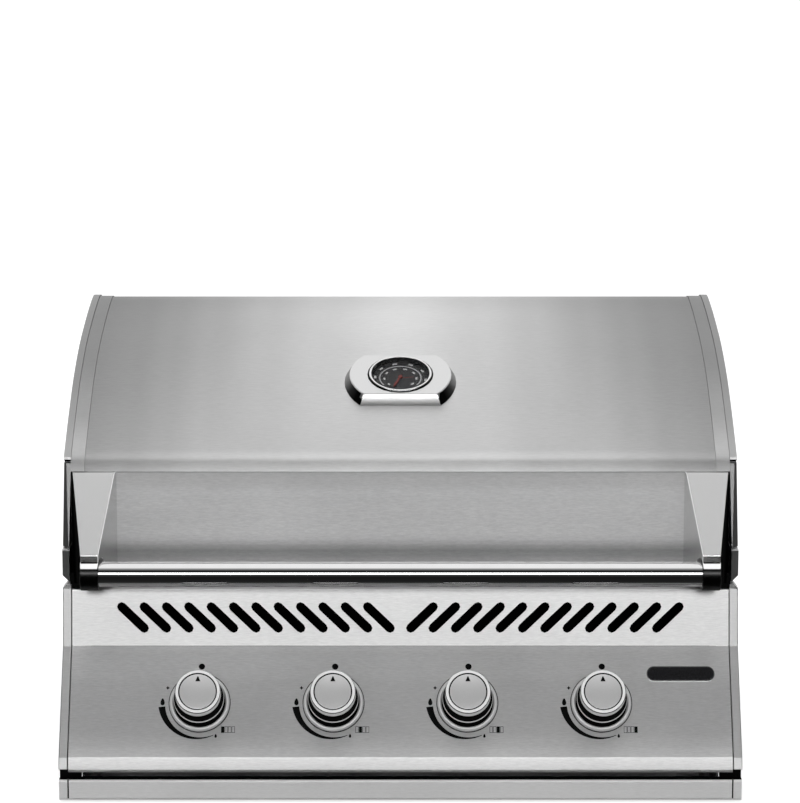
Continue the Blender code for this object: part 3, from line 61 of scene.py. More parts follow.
# Marks printed on the control panel, placed round each valve's axis
KNOB_NAMES = (1, 2, 3, 4)
MARK_FOOT = -0.00004
MARK_TOP = 0.00012
CIRCLE_STEPS = 32
OFF_DOT = (0.0017, 0.0455, 0.0038)
SPARK_PLACE = (-0.0385, 0.0187)
SPARK_POINTS = 4
SPARK_REACHES = (0.0025, 0.00125)
HIGH_FLAME_PLACE = (-0.0443, 0.0014)
HIGH_FLAME_SIZE = 0.0088
LOW_FLAME_PLACE = (0.0200, -0.0409)
LOW_FLAME_SIZE = 0.0048
FLAME_STEPS = 24
FLAME_WIDTH_SHARE = 0.75
FLAME_TAPER_SHARE = 0.55
SWEEP_START = math.radians(186)
SWEEP_END = math.radians(293)
SWEEP_START_RADII = (0.0412, 0.0494)
SWEEP_END_RADII = (0.0432, 0.0438)
SWEEP_STEPS = 40
BOX_ROW_START = 0.0263
BOX_ROW_TOP = -0.0293
BOX_SIZE = (0.0038, 0.0079)
BOX_PITCH = 0.0042
BOX_LINE = 0.0005

# Name plate, its centre across the grill and up the panel from the valves
NAME_PLATE_CENTRE = (0.3359, 0.0362)
NAME_PLATE_SIZE = (0.0814, 0.0186)
NAME_PLATE_CORNER = 0.0088
NAME_PLATE_STEPS = 10
NAME_PLATE_RIM = 0.0011
NAME_PLATE_THICK = 0.0014

# Turned pieces and their eased corners
TURN_STEPS = 96
CORNER_STEPS = 4
CORNER_REACH_SHARE = 0.4
ON_AXIS = 0.00001
FACE_MARGIN = 0.0001

# Knob, as radius and height above the panel
KNOB_FACE_RADIUS = 0.0216
KNOB_GROOVE_RADIUS = 0.0230
KNOB_GROOVE_FLOOR = 0.0436
KNOB_RIM = 0.0450
KNOB_CORNER = 0.0004
KNOB_OUTLINE = (
    (0.0000, 0.04620), (KNOB_FACE_RADIUS, KNOB_RIM), (KNOB_FACE_RADIUS, KNOB_GROOVE_FLOOR),
    (KNOB_GROOVE_RADIUS, KNOB_GROOVE_FLOOR), (KNOB_GROOVE_RADIUS, 0.04560), (0.0262, KNOB_RIM),
    (0.0272, 0.04410), (0.0272, 0.03400), (0.0258, 0.03180), (0.0258, 0.02240),
    (0.0300, 0.02020), (0.0300, 0.01680), (0.0288, 0.01540), (0.0288, 0.00580),
    (0.0043, 0.00580), (0.0043, 0.03780), (0.0000, 0.03780),
)
POINTER_THICK = 0.00075
POINTER_OUTLINE = ((-0.0030, 0.0126), (0.0030, 0.0126), (0.0005, 0.0186), (-0.0005, 0.0186))

# Heights at which the knob's finish changes: the black bands in the groove, waist and skirt are
# painted shade and painted dark reflection, the near-white matt bands round the head are painted
# highlights
KNOB_RING_FOOT = 0.0448
KNOB_HEAD = (0.0341, 0.0440)
KNOB_WAIST = (0.0206, 0.0341)
KNOB_SKIRT_TOP = 0.0164
KNOB_FINISHES = ("knob_chrome", "knob_satin", "print_and_shadow_black", "knob_highlight_white")
POLISHED, SATIN, SHADED, HIGHLIT = range(len(KNOB_FINISHES))

# Bezel, black round its foot as painted shade, and the black rings under it and under the knob, as
# radius and height: the one under the knob is a seal that also stands in for the shadow there, the
# one round the bezel's foot a painted shadow line
BEZEL_CORNER = 0.0008
BEZEL_OUTLINE = (
    (0.0324, 0.00460), (0.0346, 0.00390), (0.0360, 0.00180), (0.0360, 0.00030),
    (0.0310, 0.00030), (0.0310, 0.00320),
)
BEZEL_EDGE = 0.0014
BEZEL_FINISHES = ("bezel_matt", "print_and_shadow_black")
GASKET_OUTLINE = ((0.0060, 0.0008), (0.0308, 0.0008), (0.0308, 0.0003), (0.0060, 0.0003))
BEZEL_SHADOW_OUTLINE = ((0.0362, 0.0009), (0.0370, 0.0007), (0.0370, 0.0003), (0.0362, 0.0003))

# Handle
HANDLE_END_CORNER = 0.0012

# Gauge's case and the black seal round it, which also stands in for the shadow in the gap, as
# radius and height on the axis of its needle
CASE_FOOT = 0.0033
CASE_BORE = 0.0360
CASE_CORNER = 0.0003
CASE_FOOT_MARGIN = 0.001
CASE_OUTLINE = (
    (0.0000, 0.0050), (CASE_BORE, 0.0050), (CASE_BORE, 0.0137), (0.0365, 0.0142),
    (0.0382, 0.0142), (0.0388, 0.0136), (0.0388, CASE_FOOT), (0.0035, CASE_FOOT),
    (0.0035, -0.0700), (0.0000, -0.0700),
)
CASE_FINISHES = ("bar_chrome", "dial_black")
SEAL_OUTLINE = ((0.0391, 0.0076), (0.0407, 0.0076), (0.0407, 0.0034), (0.0391, 0.0034))

# Gauge's scale and set hand, flat on its dial
DIAL_TOP = 0.0063
DIAL_MARK_THICK = 0.00012
SCALE_RADIUS = 0.0255
SCALE_WIDTH = 0.0008
SCALE_START = math.radians(-128)
SCALE_SWEEP = math.radians(256)
SCALE_STEPS = 72
TICK_COUNT = 57
TICK_SIZE = (0.00035, 0.0016)
SET_HAND_TURN = math.radians(-83)
SET_HAND_OUTLINE = ((-0.0004, -0.003), (0.0004, -0.003), (0.0004, 0.0165), (-0.0004, 0.0165))

# Rings of numbers: first, step, count, start and turn in degrees, radius, height
OUTER_NUMBERS = (100, 100, 7, -124, 37, 0.0312, 0.0040)
INNER_NUMBERS = (50, 50, 8, -135, 38, 0.0198, 0.0034)
NUMBER_CURVE_STEPS = 3

# Fascia's outer face from the lip up, as depth behind the lip's foot and height
LIP_FOOT = 0.0378
FASCIA_FRONT = -0.3190
FASCIA_CORNERS = ((0.0, LIP_FOOT), (0.0032, 0.0559), (0.0777, 0.1734), (0.0896, 0.2409))
# Black strip in the gap between the fascia and each end, a painted shadow: its span across the
# grill and its depths behind the face
FASCIA_SHADOW_SPAN = (0.39505, 0.39555)
FASCIA_SHADOW_DEPTHS = (0.0034, 0.0120)

# Black blocks at the right, mirrored to the left, as lowest and highest corners: a tray seam and a
# lid rest, black to paint the shadow in the gaps there
TRAY_SEAM = ((0.3951, -0.3117, 0.0045), (0.3965, -0.3102, 0.0272))
LID_REST_FOOT = ((0.3838, -0.2288, 0.2412), (0.3953, -0.2020, 0.2466))
LID_REST_PAD = ((0.3838, -0.2288, 0.2466), (0.3972, -0.1915, 0.2476))
LID_REST_TAB = ((0.3925, -0.2288, 0.2476), (0.3972, -0.2274, 0.2605))
SHADOW_BLOCKS = (("tray_seam", TRAY_SEAM, "tray"), ("lid_rest_foot", LID_REST_FOOT, "firebox"),
                ("lid_rest_pad", LID_REST_PAD, "firebox"),
                ("lid_rest_tab", LID_REST_TAB, "firebox"))

# Brushed grain, hairlines and casting relief
GRAIN_WEIGHT = 0.7
LID_GRAIN = {"width": 0.0011, "length": 0.012}
FASCIA_GRAIN = {"width": 0.0012, "length": 0.009}
HAIRLINES = {"Streak Length": 0.03, "Streak Width": 0.0004, "Depth": 0.0000003,
             "Patch Size": 0.03}
POLISH_SPREAD = 0.04
CAST_RELIEF = {"Pebble": 0.0011, "Depth": 0.00004}
TONE_RELIEF = {"Pebble": 0.0016, "Depth": 0.00002}
FILM_RELIEF = {"Pebble": 0.02, "Depth": 0.0}
FILM_ROUGHNESS = (0.0, 0.008)

# Painted shade and painted light up a piece, as heights and shares of the metal's own grey
LID_SHADE = ((0.376, 1.0), (0.392, 1.0), (0.402, 0.78), (0.515, 0.78), (0.530, 0.68))
CASTING_SHADE = ((0.376, 1.0), (0.400, 0.98), (0.440, 0.80), (0.470, 0.68), (0.530, 0.56))
TRIM_SHADE = ((0.376, 1.0), (0.400, 1.0), (0.440, 0.72), (0.490, 0.52), (0.530, 0.46))
RECESS_SHADE = (
    (0.268, 0.78), (0.2747, 0.58), (0.2797, 0.50), (0.2847, 0.62), (0.2897, 0.80),
    (0.2947, 0.94), (0.3020, 1.0), (0.3300, 0.96), (0.3480, 0.88), (0.3666, 0.72),
    (0.3740, 0.65),
)
PANEL_SHADE = (
    (0.0378, 0.90), (0.0560, 0.98), (0.0617, 0.93), (0.0702, 0.83), (0.0829, 0.75),
    (0.0956, 0.74), (0.1125, 0.76), (0.1295, 0.79), (0.1464, 0.86), (0.1633, 0.90),
    (0.1718, 0.98),
)
# Painted highlight on the rail's top edge: its height, its fade, and the share of painted shade
# below it
RAIL_BRIGHT = 0.2876
RAIL_FADE = 0.0003
RAIL_SHADE = 0.16

# Painted sheen and shade across the lid, lighter in its middle and darker towards its ends, as
# distances from its middle and shares, low down and high up
LID_SHADE_TURN = (0.40, 0.52)
LID_LOW_SIDES = ((0.0, 0.76), (0.10, 0.77), (0.17, 0.70), (0.24, 0.67), (0.29, 0.59),
                 (0.33, 0.52), (0.40, 0.45))
LID_HIGH_SIDES = ((0.0, 0.97), (0.10, 0.80), (0.17, 0.67), (0.24, 0.51), (0.29, 0.42),
                  (0.33, 0.36), (0.40, 0.30))
LID_GAIN = 1.5

# Painted highlights: the band on a handle block, a bracket's inner edge and its heel
HIGHLIGHT_GREY = (0.92, 0.92, 0.92, 1)
BLOCK_BAND = ((0.49, 0.54), (0.77, 0.82))
BEVEL_NORMALS = (-0.93, -0.35)
HEEL_NORMAL = -0.30
HEEL_REACH = 0.3596
HEEL_SHARE = 0.4

# Painted shade on the gauge plate's flanks, by how far their faces lean from its axis and sideways
FLANK_UPRIGHT = 0.6
FLANK_SIDEWAYS = 0.3
FLANK_FADE = (0.72, 0.96)
FLANK_SHADES = (0.02, 0.5)

# What is coloured black between and behind the panels, as painted shade where shadow falls
SHADOW_SHARE = 0.006
OUTER_SIDE_NORMAL = 0.25
TRAY_TOP_NORMAL = 0.9
PANEL_MARGIN = 0.3830
BRACKET_NOSE = (0.3822, 0.286)
NOTCH_HEIGHTS = (0.3874, 0.3915)
NOTCH_BACK = -0.1785
BOX_FRONT = -0.2945

# Soft shading of the solids and the turned pieces
SEAM = 0.000002
DOUBLES = 0.0000005
SOFT_ANGLE = math.radians(28)
TURNED_ANGLE = math.radians(30)
FOLDED_SHEET_ANGLE = math.radians(5)
CASTING_ANGLE = math.radians(18)
ROD_ANGLE = math.radians(32)

# Studio as gloss shows it: level by degrees above the horizon
FRONT_LEVELS = ((-90, 0.15), (-60, 0.014), (-8, 0.010), (0, 0.07), (12, 0.10), (27, 0.05),
                (36, 0.015), (46, 0.04), (56, 0.20), (65, 0.52), (76, 1.0))
SIDE_LEVELS = ((-90, 0.03), (0, 0.02), (25, 0.03), (45, 0.25), (70, 1.0))
REAR_LEVELS = ((-90, 0.45), (-5, 0.50), (5, 0.75), (20, 1.0))
STRIP_LEVELS = ((12.5, 0.0), (14.5, 1.0), (23.5, 1.0), (25.5, 0.0))
STRIP_POWER = 5.5
ZENITH_GUARD = 0.0001
MATT_LEVEL = (0.75, 0.75, 0.75, 1)

# Where the side levels give way to the front's and the rear's, by how far back a ray points
TO_FRONT = (-0.55, -0.8)
TO_REAR = (0.40, 0.75)

# Studio's floor and lamps: name, place, aim, size and power
FLOOR_REACH = 30
FLOOR_GREYS = (0.60, 0.64)
FLOOR_GLOW = 0.62
SOFTBOXES = (
    ("overhead_softbox", (0.0, -0.6, 3.2), (0, 0, 0.4), (3.6, 2.6), 40),
    ("front_softbox", (0.0, -4.2, 1.75), (0, -0.2, 0.3), (4.0, 0.5), 26),
)


def out_axis(joint_name):
    """A joint's axis, pointing up and out of the grill."""
    axis = Vector(JOINTS[joint_name]["axis"])
    return -axis if axis.z < 0 else axis


def link_value(tree, socket, value):
    """Set a socket, or feed it from another node's socket."""
    if isinstance(value, bpy.types.NodeSocket):
        tree.links.new(value, socket)
    else:
        socket.default_value = value


def add_node(tree, kind, inputs=None, **settings):
    """Add a node; inputs are named or numbered."""
    node = tree.nodes.new(kind)
    for name, value in settings.items():
        setattr(node, name, value)
    for name, value in (inputs or {}).items():
        link_value(tree, node.inputs[name], value)
    return node


def maths(tree, operation, *values, clamp=False):
    """Result of a Math node."""
    node = add_node(tree, "ShaderNodeMath", dict(enumerate(values)), operation=operation,
                    use_clamp=clamp)
    return node.outputs[0]


def spread(tree, value, low, high):
    """A share from 0 to 1 spread from low to high."""
    return add_node(tree, "ShaderNodeMapRange",
                    {"Value": value, "To Min": low, "To Max": high}).outputs["Result"]


def ramp(tree, value, stops):
    """Grey or colour by share, through smooth stops."""
    node = add_node(tree, "ShaderNodeValToRGB", {0: value})
    node.color_ramp.interpolation = "EASE"
    elements = node.color_ramp.elements
    while len(elements) < len(stops):
        elements.new(0.5)
    for element, (position, level) in zip(elements, stops):
        element.position = position
        element.color = (level, level, level, 1) if isinstance(level, float) else (*level, 1)
    return node.outputs["Color"]


def blend_levels(tree, share, first, second):
    """Mix two colours by a share."""
    mix = add_node(tree, "ShaderNodeMix", data_type="RGBA")
    link_value(tree, mix.inputs["Factor"], share)
    link_value(tree, mix.inputs[6], first)
    link_value(tree, mix.inputs[7], second)
    return mix.outputs[2]


def new_group(name, inputs, outputs):
    """An empty shader group with named sockets, and its two ends."""
    tree = bpy.data.node_groups.new(name, "ShaderNodeTree")
    for label, kind, default in inputs:
        socket = tree.interface.new_socket(label, in_out="INPUT", socket_type=kind)
        if default is not None:
            socket.default_value = default
    for label, kind in outputs:
        tree.interface.new_socket(label, in_out="OUTPUT", socket_type=kind)
    return tree, tree.nodes.new("NodeGroupInput").outputs, tree.nodes.new("NodeGroupOutput")


def brushed_grain_group():
    """Long fine scratches along X with slow cloudy patches, for brushed sheet."""
    tree, given, result = new_group(
        "brushed grain",
        [("Vector", "NodeSocketVector", None), ("Streak Length", "NodeSocketFloat", 0.02),
         ("Streak Width", "NodeSocketFloat", 0.0005), ("Patch Size", "NodeSocketFloat", 0.12),
         ("Depth", "NodeSocketFloat", 0.00003)],
        [("Grain", "NodeSocketFloat"), ("Patches", "NodeSocketFloat"),
         ("Normal", "NodeSocketVector")])
    along = maths(tree, "DIVIDE", 1.0, given["Streak Length"])
    over = maths(tree, "DIVIDE", 1.0, given["Streak Width"])
    shape = add_node(tree, "ShaderNodeCombineXYZ", {"X": along, "Y": over, "Z": over})
    stretched = add_node(tree, "ShaderNodeVectorMath",
                         {0: given["Vector"], 1: shape.outputs[0]}, operation="MULTIPLY")
    scratches = add_node(tree, "ShaderNodeTexNoise",
                         {"Vector": stretched.outputs[0], "Scale": 1.0, "Detail": 3.0,
                          "Roughness": 0.65})
    patches = add_node(tree, "ShaderNodeTexNoise",
                       {"Vector": given["Vector"],
                        "Scale": maths(tree, "DIVIDE", 1.0, given["Patch Size"]),
                        "Detail": 2.0, "Roughness": 0.5})
    relief = add_node(tree, "ShaderNodeBump",
                      {"Strength": 1.0, "Distance": given["Depth"],
                       "Height": scratches.outputs[0]})
    tree.links.new(scratches.outputs[0], result.inputs["Grain"])
    tree.links.new(patches.outputs[0], result.inputs["Patches"])
    tree.links.new(relief.outputs[0], result.inputs["Normal"])
    return tree


def fine_cast_group():
    """Low pebbled relief of a cast or blasted surface."""
    tree, given, result = new_group(
        "fine cast",
        [("Vector", "NodeSocketVector", None), ("Pebble", "NodeSocketFloat", 0.0012),
         ("Depth", "NodeSocketFloat", 0.00005)],
        [("Pebbles", "NodeSocketFloat"), ("Normal", "NodeSocketVector")])
    pebbles = add_node(tree, "ShaderNodeTexNoise",
                       {"Vector": given["Vector"],
                        "Scale": maths(tree, "DIVIDE", 1.0, given["Pebble"]),
                        "Detail": 2.0})
    relief = add_node(tree, "ShaderNodeBump",
                      {"Strength": 1.0, "Distance": given["Depth"],
                       "Height": pebbles.outputs[0]})
    tree.links.new(pebbles.outputs[0], result.inputs["Pebbles"])
    tree.links.new(relief.outputs[0], result.inputs["Normal"])
    return tree


BRUSHED_GRAIN = brushed_grain_group()
FINE_CAST = fine_cast_group()


def new_material(name, constants):
    """A material whose surface has these plain values."""
    material = bpy.data.materials.new(name)
    material.use_nodes = True
    surface = material.node_tree.nodes["Principled BSDF"]
    for label, value in constants.items():
        surface.inputs[label].default_value = value
    return material, material.node_tree, surface


def use_group(tree, group, values):
    """Place a shared group, fed with the piece's own coordinates."""
    place = add_node(tree, "ShaderNodeTexCoord").outputs["Object"]
    node = add_node(tree, "ShaderNodeGroup", node_tree=group)
    for name, value in {"Vector": place, **values}.items():
        link_value(tree, node.inputs[name], value)
    return node.outputs


def grey_spread(tree, share, dark, light):
    """Grey colour between two levels."""
    level = spread(tree, share, dark, light)
    return add_node(tree, "ShaderNodeCombineColor",
                    {"Red": level, "Green": level, "Blue": level}).outputs[0]


def scaled(tree, colour, share):
    """Colour times a share."""
    return add_node(tree, "ShaderNodeVectorMath", {0: colour, "Scale": share},
                    operation="SCALE").outputs[0]


def own_parts(tree, output):
    """X, Y and Z of a piece's own place or its own normal."""
    source = add_node(tree, "ShaderNodeTexCoord").outputs[output]
    return add_node(tree, "ShaderNodeSeparateXYZ", {0: source}).outputs


def between(tree, value, low, high, at_low, at_high):
    """Level that runs from one value to another between two places."""
    return add_node(tree, "ShaderNodeMapRange",
                    {"Value": value, "From Min": low, "From Max": high, "To Min": at_low,
                     "To Max": at_high}).outputs["Result"]


def by_height(*stops):
    """Painted shade that changes over a piece's height, through stops of height and share."""
    low = stops[0][0]
    reach = stops[-1][0] - low

    def shade_of(tree):
        share = between(tree, own_parts(tree, "Object")["Z"], low, low + reach, 0.0, 1.0)
        return ramp(tree, share, [((height - low) / reach, level) for height, level in stops])
    return shade_of


def aside(tree):
    """Distance from the grill's middle, on either side."""
    return maths(tree, "ABSOLUTE", own_parts(tree, "Object")["X"])


def outward(tree):
    """How far a face looks away from the grill's middle, from -1 to 1."""
    return maths(tree, "MULTIPLY", maths(tree, "SIGN", own_parts(tree, "Object")["X"]),
                 own_parts(tree, "Normal")["X"])


def above(tree, value, limit):
    """1 where a value is above a limit, 0 elsewhere."""
    return maths(tree, "GREATER_THAN", value, limit)


def below(tree, value, limit):
    """1 where a value is below a limit, 0 elsewhere."""
    return maths(tree, "LESS_THAN", value, limit)


def by_side(tree, stops):
    """Level that changes with the distance from the grill's middle."""
    reach = stops[-1][0]
    share = maths(tree, "DIVIDE", aside(tree), reach, clamp=True)
    return ramp(tree, share, [(distance / reach, level) for distance, level in stops])


def lid_shade(tree):
    """Painted shade of the lid, darker towards its ends, most of all near its top."""
    rise = between(tree, own_parts(tree, "Object")["Z"], *LID_SHADE_TURN, 0.0, 1.0)
    low, high = by_side(tree, LID_LOW_SIDES), by_side(tree, LID_HIGH_SIDES)
    change = maths(tree, "MULTIPLY", rise, maths(tree, "SUBTRACT", high, low))
    side = maths(tree, "MULTIPLY", maths(tree, "ADD", low, change), LID_GAIN)
    return maths(tree, "MULTIPLY", side, by_height(*LID_SHADE)(tree))


def kept_unless(tree, *tests):
    """Share that is 0 where all the tests hold and 1 elsewhere."""
    held = tests[0]
    for test in tests[1:]:
        held = maths(tree, "MULTIPLY", held, test)
    return maths(tree, "SUBTRACT", 1.0, held)


def shaded_outer_sides(tree):
    """Keeps the metal but for a bracket's outer side and the side of its nose, which take painted
    black shade.
    """
    nose_side = maths(tree, "MULTIPLY", above(tree, aside(tree), BRACKET_NOSE[0]),
                      below(tree, own_parts(tree, "Object")["Z"], BRACKET_NOSE[1]))
    outer_side = above(tree, outward(tree), OUTER_SIDE_NORMAL)
    return kept_unless(tree, maths(tree, "MAXIMUM", nose_side, outer_side))


def shaded_foot(tree):
    """Keeps the metal but for what hangs below the lip, which takes painted black shade."""
    return kept_unless(tree, below(tree, own_parts(tree, "Object")["Z"], LIP_FOOT))


def shaded_tray_top(tree):
    """Keeps the metal but for the tray front's upper side, painted black as the shade and dark
    reflection under the lip.
    """
    return kept_unless(tree, above(tree, own_parts(tree, "Normal")["Z"], TRAY_TOP_NORMAL))


def shaded_margins(tree):
    """Keeps the metal but for the strips beyond the handle brackets, painted black as shadow."""
    return kept_unless(tree, above(tree, aside(tree), PANEL_MARGIN))


def shaded_notch(tree):
    """Keeps the metal but for the notch in the front of a lid end, painted black as shadow."""
    place = own_parts(tree, "Object")
    return kept_unless(tree, above(tree, place["Z"], NOTCH_HEIGHTS[0]),
                       below(tree, place["Z"], NOTCH_HEIGHTS[1]),
                       below(tree, place["Y"], NOTCH_BACK))


def shaded_front_edges(tree):
    """Keeps the metal but for the box's edges close behind the fascia, painted black as shadow."""
    return kept_unless(tree, below(tree, own_parts(tree, "Object")["Y"], BOX_FRONT))


def painted_rail_highlight(tree):
    """Painted shade that leaves only the rail's upper edge bright, as a painted highlight."""
    return between(tree, own_parts(tree, "Object")["Z"], RAIL_BRIGHT - RAIL_FADE,
                   RAIL_BRIGHT, RAIL_SHADE, 1.0)


def highlight_band(tree):
    """Painted highlight: share that is high on the band along the top of a handle block's front.
    """
    rise = own_parts(tree, "Normal")["Z"]
    return maths(tree, "MULTIPLY", between(tree, rise, *BLOCK_BAND[0], 0.0, 1.0),
                 between(tree, rise, *BLOCK_BAND[1], 1.0, 0.0))


def highlit_inner_edges(tree):
    """Painted highlight: share that is high on a bracket's inner bevel, and part of that under its
    heel.
    """
    bevel = maths(tree, "MULTIPLY", below(tree, outward(tree), BEVEL_NORMALS[1]),
                  above(tree, outward(tree), BEVEL_NORMALS[0]))
    heel = maths(tree, "MULTIPLY",
                 below(tree, own_parts(tree, "Normal")["Z"], HEEL_NORMAL),
                 below(tree, aside(tree), HEEL_REACH))
    return maths(tree, "MAXIMUM", bevel, maths(tree, "MULTIPLY", heel, HEEL_SHARE))


def shaded_flanks(tree):
    """Painted shade: share that is low on the gauge plate's curved sides."""
    normal = add_node(tree, "ShaderNodeTexCoord").outputs["Normal"]
    upright = add_node(tree, "ShaderNodeVectorMath", {0: normal, 1: out_axis("needle_pivot")},
                       operation="DOT_PRODUCT").outputs["Value"]
    sideways = maths(tree, "ABSOLUTE", own_parts(tree, "Normal")["X"])
    flank = maths(tree, "MULTIPLY", below(tree, upright, FLANK_UPRIGHT),
                  above(tree, sideways, FLANK_SIDEWAYS))
    fade = between(tree, sideways, *FLANK_FADE, *FLANK_SHADES)
    return maths(tree, "SUBTRACT", 1.0,
                 maths(tree, "MULTIPLY", flank, maths(tree, "SUBTRACT", 1.0, fade)))


def shaded_and_highlit(tree, surface, colour, metallic, unshaded, painted_highlight=None):
    """Colour that turns black, and no metal, as painted shade where the unshaded share is low;
    near white, as a painted highlight, where a bevel is.
    """
    metal = unshaded(tree)
    colour = scaled(tree, colour, maths(tree, "MAXIMUM", metal, SHADOW_SHARE))
    if painted_highlight:
        light = painted_highlight(tree)
        colour = blend_levels(tree, light, colour, HIGHLIGHT_GREY)
        metal = maths(tree, "SUBTRACT", metal, light, clamp=True)
    link_value(tree, surface.inputs["Metallic"], maths(tree, "MULTIPLY", metal, metallic))
    return colour


def lay_on(tree, surface, colour, roughness, normal):
    """Feed a surface with its colour, roughness and relief."""
    link_value(tree, surface.inputs["Base Color"], colour)
    link_value(tree, surface.inputs["Roughness"], roughness)
    link_value(tree, surface.inputs["Normal"], normal)


def brushed_steel(name, greys, roughness, width=0.0005, length=0.02, depth=0.000004,
                  patch=0.12, metallic=1.0, painted_shade=None, unshaded=None, painted_highlight=None):
    """Stainless sheet brushed along X, so that its highlights stretch across the grain."""
    material, tree, surface = new_material(
        name, {"Metallic": metallic, "Anisotropic": 0.8, "Anisotropic Rotation": 0.25,
               "Specular IOR Level": 0.0 if unshaded else 0.5})
    along = add_node(tree, "ShaderNodeCombineXYZ", {"X": 1.0})
    link_value(tree, surface.inputs["Tangent"], along.outputs[0])
    grain = use_group(tree, BRUSHED_GRAIN, {"Streak Length": length, "Streak Width": width,
                                            "Depth": depth, "Patch Size": patch})
    mixed = maths(tree, "ADD", maths(tree, "MULTIPLY", grain["Grain"], GRAIN_WEIGHT),
                  maths(tree, "MULTIPLY", grain["Patches"], 1 - GRAIN_WEIGHT))
    colour = grey_spread(tree, mixed, *greys)
    if painted_shade:
        colour = scaled(tree, colour, painted_shade(tree))
    if unshaded:
        colour = shaded_and_highlit(tree, surface, colour, metallic, unshaded, painted_highlight)
    lay_on(tree, surface, colour, spread(tree, grain["Patches"], *roughness), grain["Normal"])
    return material


def polished_steel(name, level, roughness, painted_highlight=None):
    """Bright steel or chrome with faint hairlines and handling haze."""
    material, tree, surface = new_material(name, {"Metallic": 1.0})
    grain = use_group(tree, BRUSHED_GRAIN, HAIRLINES)
    colour = grey_spread(tree, grain["Patches"], level * (1 - POLISH_SPREAD),
                         level * (1 + POLISH_SPREAD))
    if painted_highlight:
        light = painted_highlight(tree)
        colour = blend_levels(tree, light, colour, HIGHLIGHT_GREY)
        link_value(tree, surface.inputs["Metallic"], maths(tree, "SUBTRACT", 1.0, light))
    lay_on(tree, surface, colour, spread(tree, grain["Grain"], *roughness), grain["Normal"])
    return material


def cast_metal(name, greys, roughness, metallic=1.0, painted_shade=None, unshaded=None):
    """Cast or blasted metal."""
    material, tree, surface = new_material(
        name, {"Metallic": metallic, "Specular IOR Level": 0.0 if unshaded else 0.5})
    cast = use_group(tree, FINE_CAST, CAST_RELIEF)
    colour = grey_spread(tree, cast["Pebbles"], *greys)
    if painted_shade:
        colour = scaled(tree, colour, painted_shade(tree))
    if unshaded:
        colour = shaded_and_highlit(tree, surface, colour, metallic, unshaded)
    lay_on(tree, surface, colour, spread(tree, cast["Pebbles"], *roughness), cast["Normal"])
    return material


def toned(name, dark, light, roughness, constants):
    """A coloured surface that varies softly between two colours."""
    material, tree, surface = new_material(name, constants)
    cast = use_group(tree, FINE_CAST, TONE_RELIEF)
    colour = blend_levels(tree, cast["Pebbles"], (*dark, 1), (*light, 1))
    lay_on(tree, surface, colour, spread(tree, cast["Pebbles"], *roughness), cast["Normal"])
    return material


def clear_glass(name):
    """Flat clear gauge glass with a faint film."""
    material, tree, surface = new_material(
        name, {"Transmission Weight": 1.0, "IOR": 1.08, "Base Color": (1, 1, 1, 1)})
    cast = use_group(tree, FINE_CAST, FILM_RELIEF)
    link_value(tree, surface.inputs["Roughness"], spread(tree, cast["Pebbles"], *FILM_ROUGHNESS))
    return material


